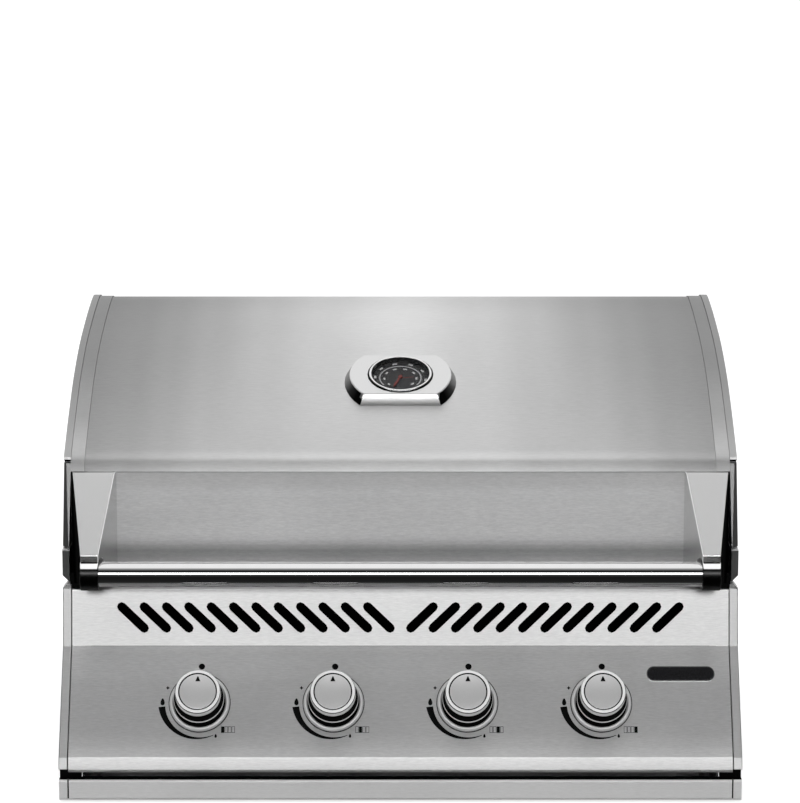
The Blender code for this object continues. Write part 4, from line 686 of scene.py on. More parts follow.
FINISHES = {
    "lid_steel": brushed_steel("lid_steel", (0.54, 0.84), (0.30, 0.36), **LID_GRAIN,
                               painted_shade=lid_shade),
    "trim_steel": brushed_steel("trim_steel", (0.46, 0.62), (0.30, 0.36), **LID_GRAIN,
                                painted_shade=by_height(*TRIM_SHADE)),
    "panel_steel": brushed_steel("panel_steel", (0.50, 0.96), (0.32, 0.40), width=0.0014,
                                 length=0.008, metallic=0.8,
                                 painted_shade=by_height(*RECESS_SHADE), unshaded=shaded_margins),
    "fascia_steel": brushed_steel("fascia_steel", (0.50, 0.94), (0.30, 0.34),
                                  **FASCIA_GRAIN, painted_shade=by_height(*PANEL_SHADE)),
    "band_steel": brushed_steel("band_steel", (0.50, 0.90), (0.30, 0.34), **FASCIA_GRAIN),
    "tray_steel": brushed_steel("tray_steel", (0.66, 0.90), (0.34, 0.40), **FASCIA_GRAIN,
                                metallic=0.5, unshaded=shaded_tray_top),
    "edge_steel": brushed_steel("edge_steel", (0.50, 0.68), (0.30, 0.36), **FASCIA_GRAIN,
                                unshaded=shaded_foot),
    "rail_steel": brushed_steel("rail_steel", (0.70, 0.80), (0.34, 0.42),
                                painted_shade=painted_rail_highlight),
    "bracket_steel": brushed_steel("bracket_steel", (0.70, 0.84), (0.22, 0.27),
                                   unshaded=shaded_outer_sides, painted_highlight=highlit_inner_edges),
    "sheet_steel": brushed_steel("sheet_steel", (0.56, 0.70), (0.40, 0.50), width=0.0008,
                                 unshaded=shaded_front_edges),
    # Front wall behind the vent slots: black paint, made near lightless so that the slots show
    # painted shadow
    "box_black_and_shadow": toned("box_black_and_shadow", (0.0015, 0.0015, 0.0015), (0.0025, 0.0025, 0.0025),
                       (0.60, 0.70), {"Specular IOR Level": 0.0}),
    "rod_steel": brushed_steel("rod_steel", (0.44, 0.54), (0.34, 0.44), width=0.0008),
    "bar_chrome": polished_steel("bar_chrome", 0.82, (0.04, 0.08)),
    # Handle blocks: near-black chrome as a painted dark reflection, with a painted highlight band
    # along the top
    "block_dark_reflection": polished_steel("block_dark_reflection", 0.035, (0.22, 0.30), painted_highlight=highlight_band),
    "knob_chrome": polished_steel("knob_chrome", 0.80, (0.04, 0.09)),
    "knob_satin": cast_metal("knob_satin", (0.74, 0.82), (0.20, 0.26), metallic=0.6),
    # Near-white matt bands on the chrome knob: painted highlights
    "knob_highlight_white": cast_metal("knob_highlight_white", (0.68, 0.76), (0.50, 0.60), metallic=0.15),
    "bezel_matt": cast_metal("bezel_matt", (0.58, 0.66), (0.40, 0.50), metallic=0.3),
    "plate_satin": cast_metal("plate_satin", (0.70, 0.76), (0.28, 0.34),
                              painted_shade=shaded_flanks),
    "cast_grey": cast_metal("cast_grey", (0.40, 0.48), (0.30, 0.38),
                            painted_shade=by_height(*CASTING_SHADE), unshaded=shaded_notch),
    "valve_brass": toned("valve_brass", (0.56, 0.42, 0.19), (0.68, 0.52, 0.26),
                         (0.28, 0.40), {"Metallic": 1.0}),
    "dial_black": toned("dial_black", (0.006, 0.006, 0.007), (0.010, 0.010, 0.011),
                        (0.42, 0.55), {"Specular IOR Level": 0.2}),
    "dial_grey": toned("dial_grey", (0.36, 0.36, 0.37), (0.44, 0.44, 0.45),
                       (0.45, 0.55), {}),
    "dial_white": toned("dial_white", (0.72, 0.72, 0.72), (0.82, 0.82, 0.82),
                        (0.45, 0.55), {}),
    "needle_red": toned("needle_red", (0.10, 0.012, 0.010), (0.13, 0.018, 0.014),
                        (0.45, 0.55), {"Specular IOR Level": 0.2}),
    # Black for printed marks, and for the pieces and bands that stand in for shadow: painted shade
    "print_and_shadow_black": toned("print_and_shadow_black", (0.003, 0.003, 0.003), (0.005, 0.005, 0.005),
                        (0.50, 0.60), {"Specular IOR Level": 0.0}),
    "plate_black": toned("plate_black", (0.006, 0.006, 0.007), (0.010, 0.010, 0.011),
                         (0.20, 0.28), {"Specular IOR Level": 0.3}),
    "lens_glass": clear_glass("lens_glass"),
}

NODE_FINISHES = {
    "lid_skin": "lid_steel",
    "lid_trim": "trim_steel",
    "lid_front_panel": "panel_steel",
    "lid_end": "cast_grey",
    "handle_bracket": "bracket_steel",
    "handle_tube": "bar_chrome",
    "handle_end": "block_dark_reflection",
    "gauge_plate": "plate_satin",
    "gauge_case": "bar_chrome",
    "gauge_dial": "dial_black",
    "gauge_lens": "lens_glass",
    "gauge_needle": "needle_red",
    "control_panel": "fascia_steel",
    "vent_band": "band_steel",
    "fascia_end": "edge_steel",
    "tray_front": "tray_steel",
    "drip_tray": "sheet_steel",
    "side_wall": "sheet_steel",
    "front_wall": "box_black_and_shadow",
    "back_wall": "sheet_steel",
    "counter_rail": "rail_steel",
    "hinge_pin": "bar_chrome",
    "gas_manifold": "sheet_steel",
    "knob_bezel": "knob_satin",
    "knob": "knob_chrome",
    "valve_stem": "valve_brass",
    "valve_body": "valve_brass",
    "burner": "rod_steel",
    "heat_plate": "sheet_steel",
    "cooking_grate": "rod_steel",
    "warming_rack": "rod_steel",
}

SHARP_ANGLES = {
    "fascia_steel": FOLDED_SHEET_ANGLE, "band_steel": FOLDED_SHEET_ANGLE,
    "edge_steel": FOLDED_SHEET_ANGLE, "tray_steel": FOLDED_SHEET_ANGLE,
    "bracket_steel": FOLDED_SHEET_ANGLE, "rail_steel": FOLDED_SHEET_ANGLE,
    "cast_grey": CASTING_ANGLE, "rod_steel": ROD_ANGLE,
}


def finish_of(node_name):
    """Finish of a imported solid, by its name without side or number."""
    while node_name not in NODE_FINISHES:
        node_name = node_name.rpartition("_")[0]
    return NODE_FINISHES[node_name]


def soft_edges_tree():
    """Joins a solid's loose triangles and shades it smooth between its sharp edges."""
    tree = bpy.data.node_groups.new("soft edges", "GeometryNodeTree")
    tree.interface.new_socket("Geometry", in_out="INPUT", socket_type="NodeSocketGeometry")
    for label, default in (("Seam", SEAM), ("Sharp Angle", SOFT_ANGLE)):
        socket = tree.interface.new_socket(label, in_out="INPUT",
                                           socket_type="NodeSocketFloat")
        socket.default_value = default
    tree.interface.new_socket("Geometry", in_out="OUTPUT", socket_type="NodeSocketGeometry")
    given = tree.nodes.new("NodeGroupInput").outputs
    joined = add_node(tree, "GeometryNodeMergeByDistance",
                      {"Geometry": given["Geometry"], "Distance": given["Seam"]})
    faces = add_node(tree, "GeometryNodeSetShadeSmooth",
                     {"Geometry": joined.outputs[0], "Shade Smooth": True}, domain="FACE")
    angle = add_node(tree, "GeometryNodeInputMeshEdgeAngle").outputs["Unsigned Angle"]
    gentle = add_node(tree, "FunctionNodeCompare",
                      {0: angle, 1: given["Sharp Angle"]}, operation="LESS_THAN")
    edges = add_node(tree, "GeometryNodeSetShadeSmooth",
                     {"Geometry": faces.outputs[0], "Shade Smooth": gentle.outputs[0]},
                     domain="EDGE")
    result = tree.nodes.new("NodeGroupOutput")
    tree.links.new(edges.outputs[0], result.inputs[0])
    return tree


SOFT_EDGES = soft_edges_tree()
SHARP_ANGLE_SOCKET = next(item.identifier for item in SOFT_EDGES.interface.items_tree
                          if item.name == "Sharp Angle")


def dress_solids():
    """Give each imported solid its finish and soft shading."""
    for name, solid in NODES.items():
        finish = finish_of(name)
        solid.data.materials.clear()
        solid.data.materials.append(FINISHES[finish])
        shading = solid.modifiers.new("soft edges", "NODES")
        shading.node_group = SOFT_EDGES
        if finish in SHARP_ANGLES:
            shading[SHARP_ANGLE_SOCKET] = SHARP_ANGLES[finish]


def add_piece(name, mesh, finish, body):
    """Show a finished mesh that moves with a body."""
    piece = bpy.data.objects.new(name, mesh)
    bpy.context.scene.collection.objects.link(piece)
    if finish:
        mesh.materials.append(FINISHES[finish])
    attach(piece, body)
    return piece


def shade(mesh):
    """Shade a turned piece smooth between its sharp edges."""
    mesh.shade_smooth()
    mesh.set_sharp_from_angle(angle=TURNED_ANGLE)


def from_bmesh(name, shape):
    """Turn a worked shape into a mesh with its faces outwards."""
    bmesh.ops.remove_doubles(shape, verts=shape.verts, dist=DOUBLES)
    bmesh.ops.recalc_face_normals(shape, faces=shape.faces)
    mesh = bpy.data.meshes.new(name)
    shape.to_mesh(mesh)
    shape.free()
    return mesh


def rounded(outline, corner):
    """Outline with its inner corners eased by short arcs."""
    eased = [Vector(outline[0])]
    for before, point, after in zip(outline, outline[1:], outline[2:]):
        point = Vector(point)
        back = Vector(before) - point
        on = Vector(after) - point
        reach = min(corner, back.length * CORNER_REACH_SHARE, on.length * CORNER_REACH_SHARE)
        start = point + back.normalized() * reach
        end = point + on.normalized() * reach
        for step in range(CORNER_STEPS + 1):
            share = step / CORNER_STEPS
            eased.append(start.lerp(point, share).lerp(point.lerp(end, share), share))
    return eased + [Vector(outline[-1])]


def turned(name, outline, place, ring=False):
    """Body of revolution with fine steps; faces at its axis are closed."""
    shape = bmesh.new()
    if ring:
        outline = outline + [outline[0]]
    rings = []
    for radius, height in outline:
        if radius < ON_AXIS:
            rings.append([shape.verts.new(place @ Vector((0, 0, height)))] * TURN_STEPS)
            continue
        rings.append([
            shape.verts.new(place @ Vector((radius * math.cos(turn), radius * math.sin(turn),
                                            height)))
            for turn in (step * 2 * math.pi / TURN_STEPS for step in range(TURN_STEPS))])
    for upper, lower in zip(rings, rings[1:]):
        for i in range(TURN_STEPS):
            corners = [upper[i - 1], upper[i], lower[i], lower[i - 1]]
            corners = [corner for n, corner in enumerate(corners) if corner not in corners[:n]]
            if len(corners) > 2:
                shape.faces.new(corners)
    mesh = from_bmesh(name, shape)
    shade(mesh)
    return mesh


def axis_frame(joint_name):
    """Frame on a joint's axis, its Z out of the grill."""
    out = out_axis(joint_name)
    side = Vector((1, 0, 0))
    up = out.cross(side)
    turn = Matrix((side, up, out)).transposed().to_4x4()
    return Matrix.Translation(JOINTS[joint_name]["pos_m"]) @ turn


def solid_mark(shape, outline, foot, top, place):
    """Add a thin closed plate with this outline to a shape."""
    lower = [shape.verts.new(place @ Vector((x, y, foot))) for x, y in outline]
    upper = [shape.verts.new(place @ Vector((x, y, top))) for x, y in outline]
    shape.faces.new(lower[::-1])
    shape.faces.new(upper)
    for i in range(len(outline)):
        shape.faces.new((lower[i - 1], lower[i], upper[i], upper[i - 1]))


def marks_mesh(name, outlines, place, foot=MARK_FOOT, top=MARK_TOP):
    """Thin plates in one mesh."""
    shape = bmesh.new()
    for outline in outlines:
        solid_mark(shape, outline, foot, top, place)
    return from_bmesh(name, shape)


def on_circle(centre, radius, turn):
    """Point at an angle round a centre."""
    return centre[0] + radius * math.cos(turn), centre[1] + radius * math.sin(turn)


def circle(centre, radius):
    """Round outline."""
    return [on_circle(centre, radius, step * 2 * math.pi / CIRCLE_STEPS)
            for step in range(CIRCLE_STEPS)]


def flame(centre, size):
    """Plain drop-shaped flame."""
    half = size / 2
    outline = []
    for step in range(FLAME_STEPS):
        turn = step * 2 * math.pi / FLAME_STEPS
        lift = (1 - math.cos(turn)) / 2
        width = math.sin(turn) * (1 - FLAME_TAPER_SHARE * lift) * FLAME_WIDTH_SHARE
        outline.append((centre[0] + half * width, centre[1] + size * (lift - 1 / 2)))
    return outline


def spark(centre):
    """Pointed spark."""
    return [on_circle(centre, SPARK_REACHES[step % 2], step * math.pi / SPARK_POINTS)
            for step in range(SPARK_POINTS * 2)]


def heat_sweep():
    """Band round the knob that thins from high to low."""
    outer = []
    inner = []
    for step in range(SWEEP_STEPS + 1):
        share = step / SWEEP_STEPS
        turn = SWEEP_START + (SWEEP_END - SWEEP_START) * share
        for edge, start, end in zip((inner, outer), SWEEP_START_RADII, SWEEP_END_RADII):
            edge.append(on_circle((0, 0), start + (end - start) * share, turn))
    return outer + inner[::-1]


def rectangle(left, top, width, height):
    """Upright box outline."""
    return [(left, top), (left, top - height), (left + width, top - height),
            (left + width, top)]


def box_row(filled):
    """Row of four boxes, the knob's own one filled."""
    width, height = BOX_SIZE
    outlines = []
    for number in KNOB_NAMES:
        left = BOX_ROW_START + BOX_PITCH * (number - 1)
        if number == filled:
            outlines.append(rectangle(left, BOX_ROW_TOP, width, height))
            continue
        inner = height - BOX_LINE * 2
        outlines += [
            rectangle(left, BOX_ROW_TOP, width, BOX_LINE),
            rectangle(left, BOX_ROW_TOP - height + BOX_LINE, width, BOX_LINE),
            rectangle(left, BOX_ROW_TOP - BOX_LINE, BOX_LINE, inner),
            rectangle(left + width - BOX_LINE, BOX_ROW_TOP - BOX_LINE, BOX_LINE, inner),
        ]
    return outlines


def mark_panel():
    """Print each knob's marks on the control panel."""
    for number in KNOB_NAMES:
        place = axis_frame(f"valve_{number}")
        outlines = [
            circle(OFF_DOT[:2], OFF_DOT[2]),
            spark(SPARK_PLACE),
            flame(HIGH_FLAME_PLACE, HIGH_FLAME_SIZE),
            flame(LOW_FLAME_PLACE, LOW_FLAME_SIZE),
            heat_sweep(),
        ] + box_row(number)
        add_piece(f"panel_marks_{number}", marks_mesh(f"panel_marks_{number}", outlines, place),
                  "print_and_shadow_black", "firebox")


def stadium(size, corner):
    """Rectangle with round corners."""
    outline = []
    for number in range(4):
        turn = number * math.pi / 2
        centre_x = (size[0] / 2 - corner) * (1 if number in (0, 3) else -1)
        centre_y = (size[1] / 2 - corner) * (1 if number in (0, 1) else -1)
        for step in range(NAME_PLATE_STEPS + 1):
            angle = turn + step * math.pi / 2 / NAME_PLATE_STEPS
            outline.append(on_circle((centre_x, centre_y), corner, angle))
    return outline


def add_name_plate():
    """Bare black plate with a bright rim at the panel's right."""
    place = axis_frame("valve_4")
    place = place @ Matrix.Translation(
        (NAME_PLATE_CENTRE[0] - JOINTS["valve_4"]["pos_m"][0], NAME_PLATE_CENTRE[1], 0))
    rim = marks_mesh("name_plate_rim", [stadium(NAME_PLATE_SIZE, NAME_PLATE_CORNER)], place,
                     top=NAME_PLATE_THICK)
    add_piece("name_plate_rim", rim, "bar_chrome", "firebox")
    inner = [length - NAME_PLATE_RIM * 2 for length in NAME_PLATE_SIZE]
    face = marks_mesh("name_plate_face",
                      [stadium(inner, NAME_PLATE_CORNER - NAME_PLATE_RIM)], place,
                      foot=NAME_PLATE_THICK + MARK_FOOT, top=NAME_PLATE_THICK + MARK_TOP)
    add_piece("name_plate_face", face, "plate_black", "firebox")


def knob_finish(radius, height):
    """Which of the knob's finishes a face has, with black bands of painted shade and near-white
    bands of painted highlight.
    """
    in_groove = radius < KNOB_GROOVE_RADIUS + FACE_MARGIN
    if KNOB_GROOVE_FLOOR - FACE_MARGIN < height < KNOB_RIM and in_groove:
        return SHADED if radius > KNOB_FACE_RADIUS - FACE_MARGIN else SATIN
    if height > KNOB_RING_FOOT:
        return SATIN if radius < KNOB_FACE_RADIUS else HIGHLIT
    if KNOB_HEAD[0] < height < KNOB_HEAD[1] or KNOB_SKIRT_TOP < height < KNOB_WAIST[0]:
        return HIGHLIT
    if height < KNOB_SKIRT_TOP or KNOB_WAIST[0] < height < KNOB_WAIST[1]:
        return SHADED
    return POLISHED


def bezel_finish(_radius, height):
    """Which of the bezel's finishes a face has: black round its foot, as painted shade."""
    return 1 if height < BEZEL_EDGE else 0


def case_finish(radius, height):
    """Which of the gauge case's finishes a face has: black inside its bore."""
    return 1 if radius < CASE_BORE + FACE_MARGIN and height > CASE_FOOT + CASE_FOOT_MARGIN else 0


def paint_turned(mesh, place, finishes, choose):
    """Give a turned piece several finishes, by the radius and height of its faces."""
    for finish in finishes:
        mesh.materials.append(FINISHES[finish])
    inverse = place.inverted()
    for face in mesh.polygons:
        local = inverse @ face.center
        face.material_index = choose(local.xy.length, local.z)


def add_knob(number, place):
    """Finely turned knob."""
    knob = turned(f"knob_turned_{number}", rounded(KNOB_OUTLINE, KNOB_CORNER), place)
    paint_turned(knob, place, KNOB_FINISHES, knob_finish)
    piece = add_piece(f"knob_turned_{number}", knob, None, f"knob_{number}")
    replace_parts(piece, f"knob_{number}")


def add_bezel(number, place):
    """Finely turned bezel, black round its foot as painted shade, and the black rings under it and
    under its knob: a seal under the knob that also stands in for the shadow there, and a painted
    shadow line round the bezel.
    """
    bezel = turned(f"bezel_turned_{number}", rounded(BEZEL_OUTLINE, BEZEL_CORNER), place,
                   ring=True)
    paint_turned(bezel, place, BEZEL_FINISHES, bezel_finish)
    piece = add_piece(f"bezel_turned_{number}", bezel, None, "firebox")
    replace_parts(piece, f"knob_bezel_{number}")
    for part, outline in (("knob_gasket", GASKET_OUTLINE), ("bezel_shadow_ring", BEZEL_SHADOW_OUTLINE)):
        ring = turned(f"{part}_{number}", list(outline), place, ring=True)
        add_piece(f"{part}_{number}", ring, "print_and_shadow_black", "firebox")


def add_pointer(number, place):
    """Pointer on a knob's face."""
    raised = place @ Matrix.Translation((0, 0, KNOB_RIM))
    pointer = marks_mesh(f"knob_pointer_{number}", [POINTER_OUTLINE], raised, foot=0,
                         top=POINTER_THICK)
    add_piece(f"knob_pointer_{number}", pointer, "print_and_shadow_black", f"knob_{number}")


def add_knobs():
    """Each valve's knob, bezel and pointer."""
    for number in KNOB_NAMES:
        place = axis_frame(f"valve_{number}")
        add_knob(number, place)
        add_bezel(number, place)
        add_pointer(number, place)


def offset_corners(distance):
    """Fascia's corners moved behind its face by a distance square to each run."""
    moved = []
    runs = [Vector(after) - Vector(before)
            for before, after in zip(FASCIA_CORNERS, FASCIA_CORNERS[1:])]
    for i, corner in enumerate(FASCIA_CORNERS):
        behind = [Vector((run.y, -run.x)).normalized() for run in runs[max(i - 1, 0):i + 1]]
        middle = sum(behind, Vector((0, 0))).normalized()
        moved.append(Vector(corner) + middle * distance / middle.dot(behind[0]))
    return moved


def box_mesh(name, low, high):
    """Closed block between two corners."""
    shape = bmesh.new()
    corners = bmesh.ops.create_cube(shape, size=1)["verts"]
    for corner in corners:
        corner.co = [low[i] if corner.co[i] < 0 else high[i] for i in range(3)]
    return from_bmesh(name, shape)


def add_fascia_gap_shadow(side, sign):
    """Black strip between the fascia and one of its ends, a painted shadow in the gap."""
    near, far = FASCIA_SHADOW_DEPTHS
    outline = [tuple(point) for point in offset_corners(near) + offset_corners(far)[::-1]]
    stand = Matrix(((0, 0, 1), (1, 0, 0), (0, 1, 0))).to_4x4()
    place = Matrix.Translation((0, FASCIA_FRONT, 0)) @ stand
    foot, top = sorted(sign * x for x in FASCIA_SHADOW_SPAN)
    seal = marks_mesh(f"fascia_gap_shadow_{side}", [outline], place, foot=foot, top=top)
    add_piece(f"fascia_gap_shadow_{side}", seal, "print_and_shadow_black", "firebox")


def add_gap_shadows():
    """Black strips and blocks at both ends of the grill, painted shadow in the gaps: between the
    fascia and its end, at the tray seam and at the lid rests.
    """
    for side, sign in (("left", -1), ("right", 1)):
        add_fascia_gap_shadow(side, sign)
        for part, corners, body in SHADOW_BLOCKS:
            low, high = (list(corner) for corner in corners)
            low[0], high[0] = sorted((sign * low[0], sign * high[0]))
            block = box_mesh(f"{part}_{side}", low, high)
            add_piece(f"{part}_{side}", block, "print_and_shadow_black", body)


def bar_outline(node):
    """Outline of a round bar along X, as radius and place, from its solid's box."""
    low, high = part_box(node)
    radius = (high.z - low.z) / 2
    return [(0, high.x), (radius, high.x), (radius, low.x), (0, low.x)]


def add_handle():
    """Smooth round bar and its end blocks."""
    low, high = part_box("handle_tube")
    middle = (low + high) / 2
    place = Matrix.Translation((0, middle.y, middle.z)) @ Matrix.Rotation(math.pi / 2, 4, "Y")
    bar = turned("handle_bar", bar_outline("handle_tube"), place)
    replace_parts(add_piece("handle_bar", bar, "bar_chrome", "lid"), "handle_tube")
    for side in ("left", "right"):
        outline = rounded(bar_outline(f"handle_end_{side}"), HANDLE_END_CORNER)
        block = turned(f"handle_block_{side}", outline, place)
        piece = add_piece(f"handle_block_{side}", block, "block_dark_reflection", "lid")
        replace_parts(piece, f"handle_end_{side}")


def ring_ticks_tree():
    """Short radial ticks along an arc in the XY plane."""
    tree = bpy.data.node_groups.new("ring ticks", "GeometryNodeTree")
    tree.interface.new_socket("Geometry", in_out="INPUT", socket_type="NodeSocketGeometry")
    for label, kind in (("Radius", "Float"), ("Start", "Float"), ("Sweep", "Float"),
                        ("Count", "Int"), ("Size", "Vector"), ("Material", "Material")):
        tree.interface.new_socket(label, in_out="INPUT", socket_type=f"NodeSocket{kind}")
    tree.interface.new_socket("Geometry", in_out="OUTPUT", socket_type="NodeSocketGeometry")
    given = tree.nodes.new("NodeGroupInput").outputs
    points = add_node(tree, "GeometryNodePoints", {"Count": given["Count"]})
    index = add_node(tree, "GeometryNodeInputIndex").outputs[0]
    last = maths(tree, "SUBTRACT", given["Count"], 1.0)
    share = maths(tree, "DIVIDE", index, last)
    turn = maths(tree, "MULTIPLY_ADD", share, given["Sweep"], given["Start"])
    rotation = add_node(tree, "ShaderNodeCombineXYZ",
                        {"Z": maths(tree, "MULTIPLY", turn, -1.0)}).outputs[0]
    across = maths(tree, "MULTIPLY", maths(tree, "SINE", turn), given["Radius"])
    up = maths(tree, "MULTIPLY", maths(tree, "COSINE", turn), given["Radius"])
    position = add_node(tree, "ShaderNodeCombineXYZ", {"X": across, "Y": up}).outputs[0]
    placed = add_node(tree, "GeometryNodeSetPosition",
                      {"Geometry": points.outputs[0], "Position": position})
    tick = add_node(tree, "GeometryNodeMeshCube", {"Size": given["Size"]})
    copies = add_node(tree, "GeometryNodeInstanceOnPoints",
                      {"Points": placed.outputs[0], "Instance": tick.outputs[0],
                       "Rotation": rotation})
    real = add_node(tree, "GeometryNodeRealizeInstances", {"Geometry": copies.outputs[0]})
    painted = add_node(tree, "GeometryNodeSetMaterial",
                       {"Geometry": real.outputs[0], "Material": given["Material"]})
    tree.links.new(painted.outputs[0], tree.nodes.new("NodeGroupOutput").inputs[0])
    return tree


def grown(name, tree, values, place):
    """Plain mesh that a geometry tree makes with these named inputs."""
    holder = bpy.data.objects.new(name, bpy.data.meshes.new(name))
    bpy.context.scene.collection.objects.link(holder)
    modifier = holder.modifiers.new("grow", "NODES")
    modifier.node_group = tree
    for item in tree.interface.items_tree:
        if item.in_out == "INPUT" and item.name in values:
            modifier[item.identifier] = values[item.name]
    holder.update_tag()
    graph = bpy.context.evaluated_depsgraph_get()
    mesh = bpy.data.meshes.new_from_object(holder.evaluated_get(graph))
    bpy.data.objects.remove(holder)
    mesh.name = name
    mesh.transform(place)
    return mesh


def arc_band(radius, width, start, sweep):
    """Thin arc, its angles clockwise from the top."""
    outline = []
    for reach, order in ((radius + width / 2, range(SCALE_STEPS + 1)),
                         (radius - width / 2, range(SCALE_STEPS, -1, -1))):
        for step in order:
            turn = start + sweep * step / SCALE_STEPS
            outline.append((reach * math.sin(turn), reach * math.cos(turn)))
    return outline


def number_mesh(name, text, size, place):
    """A number as a thin plate, centred and upright."""
    letters = bpy.data.curves.new(name, "FONT")
    letters.body = text
    letters.size = size
    letters.extrude = DIAL_MARK_THICK / 2
    letters.align_x = "CENTER"
    letters.align_y = "CENTER"
    letters.resolution_u = NUMBER_CURVE_STEPS
    holder = bpy.data.objects.new(name, letters)
    mesh = bpy.data.meshes.new_from_object(holder)
    bpy.data.objects.remove(holder)
    mesh.transform(place)
    return mesh


def joined(name, meshes):
    """One mesh of several."""
    shape = bmesh.new()
    for mesh in meshes:
        shape.from_mesh(mesh)
    mesh = bpy.data.meshes.new(name)
    shape.to_mesh(mesh)
    shape.free()
    return mesh


def dial_numbers(name, numbers, place):
    """A ring of rising numbers."""
    first, step, count, start, turn, radius, size = numbers
    meshes = []
    for index in range(count):
        angle = math.radians(start + turn * index)
        centre = Vector((radius * math.sin(angle), radius * math.cos(angle),
                         DIAL_TOP + DIAL_MARK_THICK / 2))
        label = str(first + step * index)
        meshes.append(number_mesh(name, label, size, place @ Matrix.Translation(centre)
                                  @ Matrix.Rotation(-angle, 4, "Z")))
    mesh = joined(name, meshes)
    mesh.materials.clear()
    return mesh


def add_gauge_case(place):
    """Fine case with its rim and probe, and the black seal round it, which also stands in for the
    shadow in the gap.
    """
    case = turned("gauge_rim", rounded(CASE_OUTLINE, CASE_CORNER), place)
    paint_turned(case, place, CASE_FINISHES, case_finish)
    piece = add_piece("gauge_rim", case, None, "lid")
    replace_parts(piece, "gauge_case")
    seal = turned("gauge_seal", [Vector(point) for point in SEAL_OUTLINE], place, ring=True)
    add_piece("gauge_seal", seal, "print_and_shadow_black", "lid")


def add_scale(place):
    """Printed arc with its ticks and two rings of numbers."""
    arc = arc_band(SCALE_RADIUS, SCALE_WIDTH, SCALE_START, SCALE_SWEEP)
    scale = marks_mesh("dial_scale", [arc], place, foot=DIAL_TOP, top=DIAL_TOP + DIAL_MARK_THICK)
    add_piece("dial_scale", scale, "dial_grey", "lid")
    lifted = place @ Matrix.Translation((0, 0, DIAL_TOP + DIAL_MARK_THICK / 2))
    ticks = grown("dial_ticks", ring_ticks_tree(), {
        "Radius": SCALE_RADIUS + TICK_SIZE[1] / 2, "Start": SCALE_START,
        "Sweep": SCALE_SWEEP, "Count": TICK_COUNT, "Size": (*TICK_SIZE, DIAL_MARK_THICK),
        "Material": FINISHES["dial_grey"],
    }, lifted)
    piece = add_piece("dial_ticks", ticks, None, "lid")
    for name, numbers in (("outer_numbers", OUTER_NUMBERS), ("inner_numbers", INNER_NUMBERS)):
        add_piece(name, dial_numbers(name, numbers, place), "dial_white", "lid")


def add_set_hand(place):
    """Thin second hand on the dial."""
    hand = marks_mesh("set_hand", [SET_HAND_OUTLINE],
                      place @ Matrix.Rotation(SET_HAND_TURN, 4, "Z"), foot=DIAL_TOP,
                      top=DIAL_TOP + DIAL_MARK_THICK)
    add_piece("set_hand", hand, "needle_red", "lid")


def add_gauge():
    """Everything of the gauge that its solids leave out."""
    place = axis_frame("needle_pivot")
    add_gauge_case(place)
    add_scale(place)
    add_set_hand(place)


def floor_material():
    """Pale floor that stays white in the picture and still takes a soft shadow."""
    material, tree, surface = new_material("pale_floor", {"Roughness": 0.9})
    tone = add_node(tree, "ShaderNodeTexNoise", {"Scale": 3.0})
    link_value(tree, surface.inputs["Base Color"],
               grey_spread(tree, tone.outputs[0], *FLOOR_GREYS))
    rays = add_node(tree, "ShaderNodeLightPath").outputs
    seen = maths(tree, "MAXIMUM", rays["Is Camera Ray"], rays["Is Transmission Ray"])
    surface.inputs["Emission Color"].default_value = (1, 1, 1, 1)
    link_value(tree, surface.inputs["Emission Strength"],
               maths(tree, "MULTIPLY", seen, FLOOR_GLOW))
    return material


def add_floor():
    """Wide flat floor that gloss doesn't show."""
    mesh = bpy.data.meshes.new("floor")
    corners = ((-1, -1), (1, -1), (1, 1), (-1, 1))
    mesh.from_pydata([(x * FLOOR_REACH, y * FLOOR_REACH, 0) for x, y in corners], [],
                     [(0, 1, 2, 3)])
    mesh.materials.append(floor_material())
    floor = bpy.data.objects.new("floor", mesh)
    bpy.context.scene.collection.objects.link(floor)
    floor.visible_glossy = False


def by_elevation(tree, share, stops):
    """Level by elevation, its stops given in degrees above the horizon."""
    return ramp(tree, share, [(degrees / 180 + 0.5, level) for degrees, level in stops])


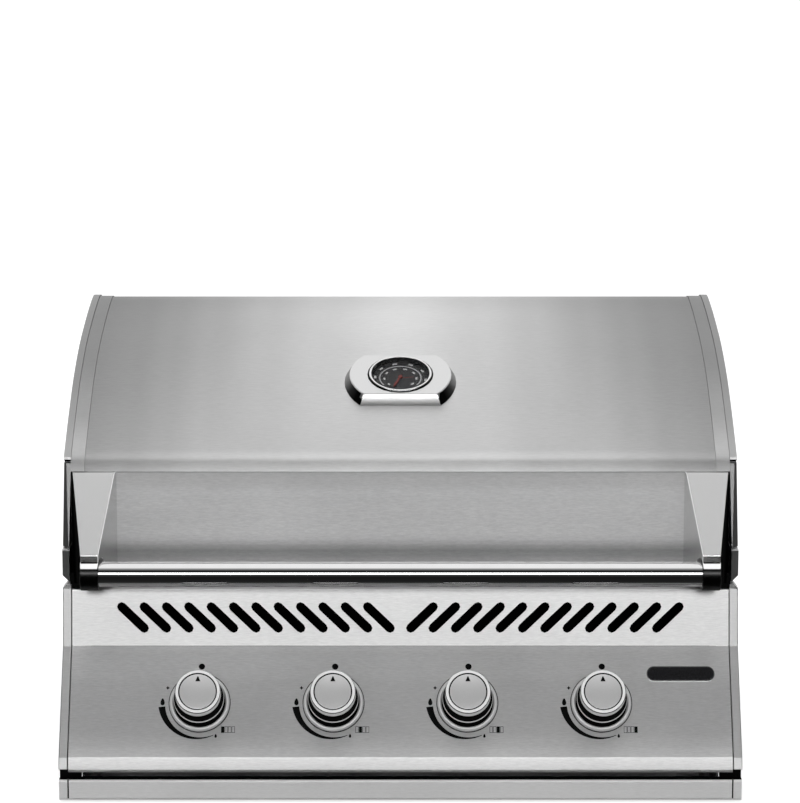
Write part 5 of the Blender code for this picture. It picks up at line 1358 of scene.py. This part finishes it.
def light_world():
    """White studio: even for matt surfaces, with darker bands for gloss to show."""
    world = bpy.data.worlds.new("studio")
    world.use_nodes = True
    bpy.context.scene.world = world
    tree = world.node_tree
    background = tree.nodes["Background"]
    way = add_node(tree, "ShaderNodeTexCoord").outputs["Generated"]
    parts = add_node(tree, "ShaderNodeSeparateXYZ", {0: way}).outputs
    share = maths(tree, "MULTIPLY_ADD", maths(tree, "ARCSINE", parts["Z"]), 1 / math.pi, 0.5)
    level_reach = maths(tree, "SQRT", maths(tree, "SUBTRACT", 1 + ZENITH_GUARD,
                                            maths(tree, "MULTIPLY", parts["Z"], parts["Z"])))
    rearward = maths(tree, "DIVIDE", parts["Y"], level_reach)
    front = by_elevation(tree, share, FRONT_LEVELS)
    side = by_elevation(tree, share, SIDE_LEVELS)
    rear = by_elevation(tree, share, REAR_LEVELS)
    to_front, to_rear = (
        add_node(tree, "ShaderNodeMapRange",
                 {"Value": rearward, "From Min": near, "From Max": far},
                 interpolation_type="SMOOTHSTEP").outputs["Result"]
        for near, far in (TO_FRONT, TO_REAR))
    shown = blend_levels(tree, to_rear, blend_levels(tree, to_front, side, front), rear)
    strip = maths(tree, "MULTIPLY", by_elevation(tree, share, STRIP_LEVELS),
                  maths(tree, "MULTIPLY", to_front, STRIP_POWER))
    glow = add_node(tree, "ShaderNodeVectorMath", {0: shown, 1: strip}, operation="ADD")
    rays = add_node(tree, "ShaderNodeLightPath").outputs
    lit = blend_levels(tree, rays["Is Glossy Ray"], MATT_LEVEL, glow.outputs[0])
    seen = maths(tree, "MAXIMUM", rays["Is Camera Ray"], rays["Is Transmission Ray"])
    final = blend_levels(tree, seen, lit, (1, 1, 1, 1))
    link_value(tree, background.inputs["Color"], final)


def add_softboxes():
    """Two wide lamps that gloss and the camera don't see."""
    for name, place, aim, size, power in SOFTBOXES:
        lamp = bpy.data.lights.new(name, "AREA")
        lamp.shape = "RECTANGLE"
        lamp.size, lamp.size_y = size
        lamp.energy = power
        holder = bpy.data.objects.new(name, lamp)
        bpy.context.scene.collection.objects.link(holder)
        holder.location = place
        holder.rotation_euler = (Vector(aim) - Vector(place)).to_track_quat("-Z", "Y").to_euler()
        holder.visible_camera = False
        holder.visible_glossy = False


def set_camera():
    """The photograph's camera."""
    camera = bpy.data.objects.new("camera", bpy.data.cameras.new("camera"))
    bpy.context.scene.collection.objects.link(camera)
    camera.data.lens = CAMERA_LENS
    camera.data.clip_end = VIEW_END
    camera.location = CAMERA_PLACE
    camera.rotation_euler = (CAMERA_PITCH, 0, 0)
    bpy.context.scene.camera = camera
    bpy.context.scene.view_settings.view_transform = "Standard"


dress_solids()
add_knobs()
add_handle()
add_gap_shadows()
add_gauge()
mark_panel()
add_name_plate()
add_floor()
light_world()
add_softboxes()
set_camera()
